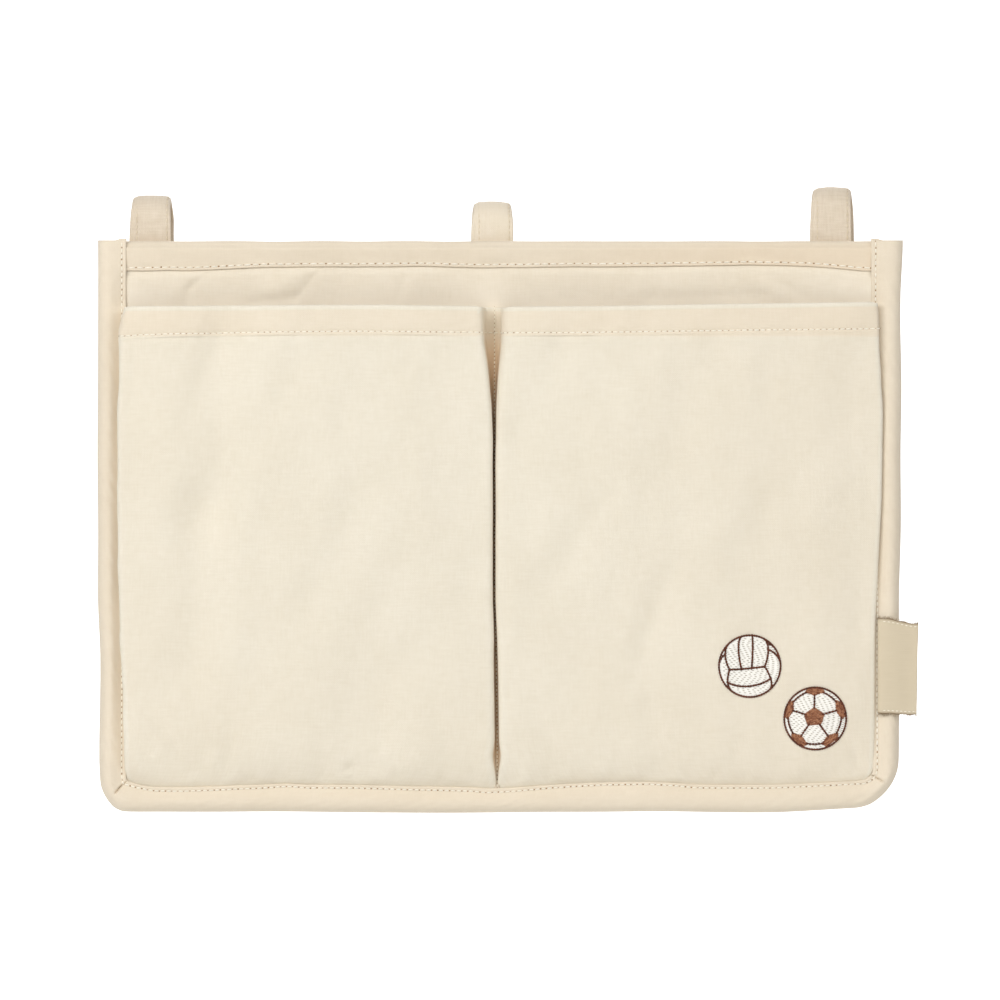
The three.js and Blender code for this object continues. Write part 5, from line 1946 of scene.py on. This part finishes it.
class Label:
    """The blank woven ribbon, folded in two and caught under the binding's seam."""

    height: float = 48.7
    drop: float = 198.5
    cloth: float = 0.4
    past_edge: float = 8.5
    from_seam: float = 2.6
    start_lift: float = 1.5
    end_falls: float = 1.5
    clear: float = 0.35

    def build(self) -> None:
        """Makes the ribbon and its loose yarn ends."""
        pitch, half, middle = self.cloth + LAY.gap, self.cloth / 2, LAY.middle_y
        rear_y = middle - EdgeBinding.front_bulge - self.clear - half
        start_x = LAY.width / 2 - LAY.edge + self.from_seam
        start_y = middle - LAY.edge_half - self.start_lift - self.clear
        bulge_x = LAY.width / 2 - LAY.edge * (1 - EdgeBinding.bulge_share)
        end_x = LAY.width / 2 + self.past_edge - pitch / 2 - half
        end_y = rear_y + self.end_falls

        def layer(offset: float) -> Array:
            """One layer of the ribbon, from the seam outwards."""
            near, far = rear_y - offset, end_y - offset
            start = (start_x, start_y - offset)
            rise = cubic(start, (start_x + 0.4, near), (bulge_x - 0.4, near), (bulge_x, near), 12)
            fall = cubic((bulge_x, near), (bulge_x + 6, near), (end_x - 6, far), (end_x, far), 18)
            return np.concatenate([rise, fall[1:]])

        turn = end_x + pitch * 0.7
        fold = cubic((end_x, end_y - pitch), (turn, end_y - pitch), (turn, end_y), (end_x, end_y), 9)
        path = np.concatenate([layer(pitch), fold[1:-1], layer(0.0)[::-1]])
        run, (across, deep) = lengths(path), path.T
        top = LAY.top_z - self.drop
        z = np.linspace(top - self.height, top, 60)[:, None]
        up = (z - z.mean()) / (self.height / 2)
        out = smooth(across, start_x + 2, end_x)
        wave = Ripples(51, 26, 0.3, 0.6)
        x = across + out * (0.35 * up - 0.25 + 0.18 * wave(z))
        y = deep - out * (0.7 * np.abs(up) ** 3 + 0.22 * wave(z, across))
        drawn = 0.25 * np.sin(across * 0.9) * (np.abs(up) > 0.999)
        points = joined(x, y, z + (drawn + mix(0.35, 1.5, (up + 1) / 2) * (1 - 1.9 * out)))
        uv = joined(run, points[..., 2])
        skin = Skin(points, uv)
        sign = -np.sign(skin.normals[30, 10, 1])
        wear_and_painted_light = np.broadcast_to(np.exp(-(self.height / 2 - np.abs(z - z.mean())) / 0.45), x.shape)
        near, far = skin.moved(sign * half), skin.moved(-sign * half)
        made = closed_sheet("label_ribbon", near, far, uv, wear_and_painted_light)
        RIBBON.dress(made, ROOT, ["woven_label"])
        self.frays(points[[0, -1]])
        rows = [faced(near[int(np.argmin(np.abs(up - at))), 6:28], -1.0) for at in (-0.93, 0.93)]
        SELVAGE_STITCH.sew("label_edge_stitches", rows, SEAM_THREAD, seed=54)

    def frays(self, ends: Array) -> None:
        """Adds short yarn ends along the ribbon's two cut edges.

        Args:
            ends: The points along the lower and the upper cut edge.
        """
        draw = np.random.default_rng(52)
        paths = []
        for edge, way in zip(ends, (-1, 1)):
            for at in np.arange(2, len(edge) - 2, 1):
                base = mix(edge[at], edge[at + 1], draw.uniform())
                tip = base + [draw.uniform(-0.5, 0.5), draw.uniform(-0.3, 0.1), way * draw.uniform(0.3, 1.1)]
                paths.append(faced(np.array([base, tip]), -1.0))
        YARN_END.sew("label_yarn_ends", paths, LABEL_THREAD, seed=53)


@dataclass(frozen=True)
class Strap:
    """One strap: tape over the rail, a free end, hook and loop tape and their stitches."""

    side: str
    x: float
    stands: float
    skew: float
    seed: int
    width: float = 20.0
    sewn: float = 13.0
    pull: float = 14.0
    left_seam: float = 2.6
    right_seam: float = 1.7
    thread_sunk: float = 0.12
    bend_half: float = 9.8
    skews_from: float = -14.0
    skews_to: float = 30.0
    curl_from: float = 7.4
    curl_over: float = 2.7
    edge_curl: float = 1.9
    arch_curl: float = 0.9
    arch_lift: float = 0.7
    box: tuple[float, float] = (6.6, 12.6)
    patch_half: tuple[float, float] = (8.0, 14.0)
    patch_corner: float = 1.5
    cloth: Cloth = STRAP_CLOTH

    def path(self) -> tuple[Array, Array, int]:
        """The tape's middle line and its outward normals.

        Returns:
            Points, normals and the number of the point at which the free end begins.
        """
        radius = LAY.rail + LAY.strap / 2
        crest = LAY.top_z + self.stands - LAY.rail - LAY.strap
        hook_back = LAY.back_y + 2 * LAY.gap + LAY.loop + LAY.hook
        flap_y = hook_back + LAY.gap + LAY.strap / 2
        tape_top = LAY.top_z - LAY.tape_drop
        front = joined(0.0, -radius, spread((LAY.top_z - self.sewn, 1), (crest, 1.1)))
        angles = np.linspace(math.pi, 0, 34)[1:]
        over = joined(0.0, radius * np.cos(angles), crest + radius * np.sin(angles))
        leave, meet = (0, radius, crest - self.pull), (0, flap_y, tape_top + self.pull)
        slope = cubic((0, radius, crest), leave, meet, (0, flap_y, tape_top), 34)[1:]
        fall = spread((tape_top, 1), (tape_top - LAY.tape_length - 3, 1.3))[1:]
        line = np.concatenate([front, over, slope, joined(0.0, flap_y, fall)])
        run = lengths(line)
        over_top = run[len(front) - 1] + radius * math.pi / 2
        line[:, 0] += self.x + self.skew * smooth(run, over_top + self.skews_from, over_top + self.skews_to)
        ways = unit(np.gradient(line, axis=0))
        normals = unit(np.cross(np.array([1.0, 0.0, 0.0]), ways)) * -1
        return line, normals, len(front) + len(over) - 1

    def tape(self, name: str, line: Array, node: str, body: str | None, start: float) -> bpy.types.Object:
        """A length of tape along a line.

        Args:
            name: The piece's name.
            line: The tape's middle line.
            node: The node that it stands for.
            body: The body that it rides on, or None to leave it on no body.
            start: The distance along the strap at which it begins.

        Returns:
            The object.
        """
        flat = {"Width": self.width * MM, "Thickness": LAY.strap * MM, "Cloth": self.cloth.material}
        made = TAPES.grow(name, [(line, np.tile([1.0, 0.0, 0.0], (len(line), 1)))], flat)
        mesh = made.data
        points = np.empty(len(mesh.vertices) * 3, np.float32)
        mesh.vertices.foreach_get("co", points)
        points = points.reshape(-1, 3).astype(float) / MM
        gap = ((points[:, None, 1:] - line[None, :, 1:]) ** 2).sum(-1)
        near = gap.argmin(1)
        run = start + lengths(line)
        across, along = points[:, 0] - line[near, 0], run[near]
        ways = unit(np.gradient(line, axis=0))[near]
        outward = unit(np.cross(np.array([1.0, 0.0, 0.0]), ways))
        curl = np.clip((np.abs(across) - self.curl_from) / self.curl_over, 0, 1)
        arch = smooth(outward[:, 2], -0.2, 0.8)
        bowed = self.edge_curl * (1 - np.sqrt(1 - curl * curl)) + self.arch_curl * (across / 10) ** 2
        droop = arch * (bowed - self.arch_lift)
        height = ((points - line[near]) * outward).sum(1)
        wave, ribs = Ripples(self.seed, 24, 0.4, 0.8), Ripples(self.seed + 1, 7, 0.2, 0.6)
        edge = np.abs(across) / (self.width / 2)
        thin = np.sign(height) * (-0.28 * hump(edge, 0.84, 0.06) + 0.12 * hump(edge, 0.95, 0.05))
        lie = 0.16 * wave(across, along) + 0.05 * ribs(across, along)
        points += outward * (thin + lie * smooth(along, 12, 20) - droop)[:, None]
        points[:, 0] += 0.22 * wave(along) * np.sign(across) * edge
        crest = self.sewn + self.stands - LAY.rail - LAY.strap + (LAY.rail + LAY.strap) * math.pi / 2
        fading = 1 - smooth(along, self.sewn, crest + 3)
        points[:, 0] += across / 10 * np.where(across < 0, 1.3, 0.4) * fading
        mesh.vertices.foreach_set("co", (points * MM).astype(np.float32).ravel())
        corners = np.empty(len(mesh.loops), np.int32)
        mesh.loops.foreach_get("vertex_index", corners)
        layer = mesh.uv_layers.new(name="UVMap")
        uv = np.column_stack([across + self.seed * 3, along])[corners]
        layer.data.foreach_set("uv", (uv * MM).astype(np.float32).ravel())
        worn = mesh.attributes.new("wear_and_painted_light", "FLOAT", "POINT")
        worn.data.foreach_set("value", (0.5 * smooth(edge, 0.93, 1.0)).astype(np.float32))
        self.cloth.dress(made, body, [node])
        return made

    def build(self) -> None:
        """Makes the strap's tape, patches and stitches."""
        line, normals, split = self.path()
        base, flap = f"strap_{self.side}", f"{self.side}_flap"
        run = lengths(line)
        over = self.tape(f"{base}_over_rail", line[: split + 1], f"{base}_base", None, 0.0)
        free = self.tape(f"{base}_free_end", line[split:], f"{base}_flap", flap, float(run[split]))
        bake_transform(over)
        specs = (("over_rail", over, slice(0, split + 1), None), ("free_end", free, slice(split, None), flap))
        for name, cloth, part, body in specs:
            paths = []
            for facing in (-1.0, 1.0):
                for shift in (self.left_seam - self.width / 2, self.width / 2 - self.right_seam):
                    lift = facing * (LAY.strap / 2 - self.thread_sunk)
                    path = line[part] + normals[part] * lift + np.array([shift, 0, 0])
                    paths.append((path, normals[part] * facing))
            made = STRAP_STITCH.sew(f"{base}_{name}_stitches", paths, STRAP_THREAD, body, seed=self.seed)
            if body is None:
                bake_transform(made)
        self.patches(float(line[-1, 1]), flap)

    def patches(self, flap_y: float, flap: str) -> None:
        """Makes the hook tape on the free end and the loop tape on the panel.

        Args:
            flap_y: The depth of the free end's middle.
            flap: The body of the free end.
        """
        x = self.x + self.skew
        middle = LAY.top_z - LAY.tape_drop - LAY.tape_length / 2
        loop_back = LAY.back_y + LAY.gap + LAY.loop
        tapes = (
            ("loop", LAY.loop, ROOT, 1.0, loop_back),
            ("hook", LAY.hook, flap, -1.0, loop_back + LAY.gap),
        )
        for kind, thick, body, facing, face in tapes:
            made = self.patch(f"strap_{self.side}_{kind}_patch", x, middle, thick, face, facing)
            TAPE.dress(made, body, [f"strap_{self.side}_{kind}_tape"])
        corners = np.array([(-1, -1), (1, -1), (1, 1), (-1, 1), (-1, -1)]) * self.box
        square = [mix(a, b, np.linspace(0, 1, 12)[:-1, None]) for a, b in zip(corners, corners[1:])]
        square = np.concatenate([*square, square[0][:1]])
        specs = (("box", flap_y + LAY.strap / 2 - 0.1, flap), ("loop", loop_back, ROOT))
        for number, (kind, depth, body) in enumerate(specs, 5):
            path = joined(x + square[:, 0], depth, middle + square[:, 1])
            name = f"strap_{self.side}_{kind}_stitches"
            BOX_STITCH.sew(name, [faced(path, 1.0)], STRAP_THREAD, body, seed=self.seed + number)

    def patch(
        self, name: str, x: float, z: float, thick: float, face: float, facing: float
    ) -> bpy.types.Object:
        """A piece of hook or loop tape, with a matted face.

        Args:
            name: The piece's name.
            x: Its middle across.
            z: Its middle height.
            thick: Its thickness.
            face: The depth of its matted face.
            facing: -1 where that face looks forward, 1 where it looks back.

        Returns:
            The object.
        """
        places = []
        for half, count in zip(self.patch_half, (33, 59)):
            inside = np.linspace(0.8 - half, half - 0.8, count)
            rim = np.array([half - 0.4, half - 0.1, half])
            places.append(np.concatenate([-rim[::-1], inside, rim]))
        gx, gz = np.meshgrid(*places)
        rounding, soft_rim, rim_drop, pile_height = self.patch_corner, 0.7, 0.45, 0.12
        pile = Ripples(self.seed + 9, 1.9)
        flat_x, flat_z = (h - rounding for h in self.patch_half)
        past_x, past_z = np.maximum(np.abs(gx) - flat_x, 0), np.maximum(np.abs(gz) - flat_z, 0)
        square = past_x**2 + past_z**2
        shrink = rounding / np.sqrt(np.maximum(square, 1e-9))
        cut = square > rounding**2
        gx = np.where(cut, np.sign(gx) * (flat_x + past_x * shrink), gx)
        gz = np.where(cut, np.sign(gz) * (flat_z + past_z * shrink), gz)
        margins = (smooth(h - np.abs(at), 0.0, soft_rim) for h, at in zip(self.patch_half, (gx, gz)))
        inner = math.prod(margins)
        rough = pile_height * pile(gx, gz) * inner - rim_drop * (1 - inner)
        back = face - facing * thick
        near = joined(x + gx, face + facing * (rough - 0.1), z + gz)
        far = joined(x + gx, back + facing * 0.3 * (1 - inner), z + gz)
        return closed_sheet(name, near, far, joined(gx, gz), np.zeros(gx.shape))


def main() -> None:
    """Builds the caddy piece by piece, then the studio."""
    logging.basicConfig(level=logging.INFO, format="%(name)s %(message)s")
    Studio().build()
    Panel().build()
    EdgeBinding().build()
    TopBinding().build()
    cloth = PocketSheet().build()
    Motif(Ball.VOLLEYBALL, (130.6, -230.4), 16.1, (-41, -6.4, 5), row_angle=-0.12).build(cloth)
    Motif(Ball.FOOTBALL, (164.8, -257.7), 16.2, (34, 1.8, 180), row_angle=-0.14).build(cloth)
    Label().build()
    straps = (
        Strap("left", -182.2, 23.6, 1.7, seed=60),
        Strap("centre", -3.3, LAY.centre_stands, -1.7, seed=80, cloth=PAINTED_LIGHT_STRAP_CLOTH),
        Strap("right", 173.6, 27.8, 2.3, seed=100),
    )
    for strap in straps:
        strap.build()


if __name__ == "__main__":
    main()
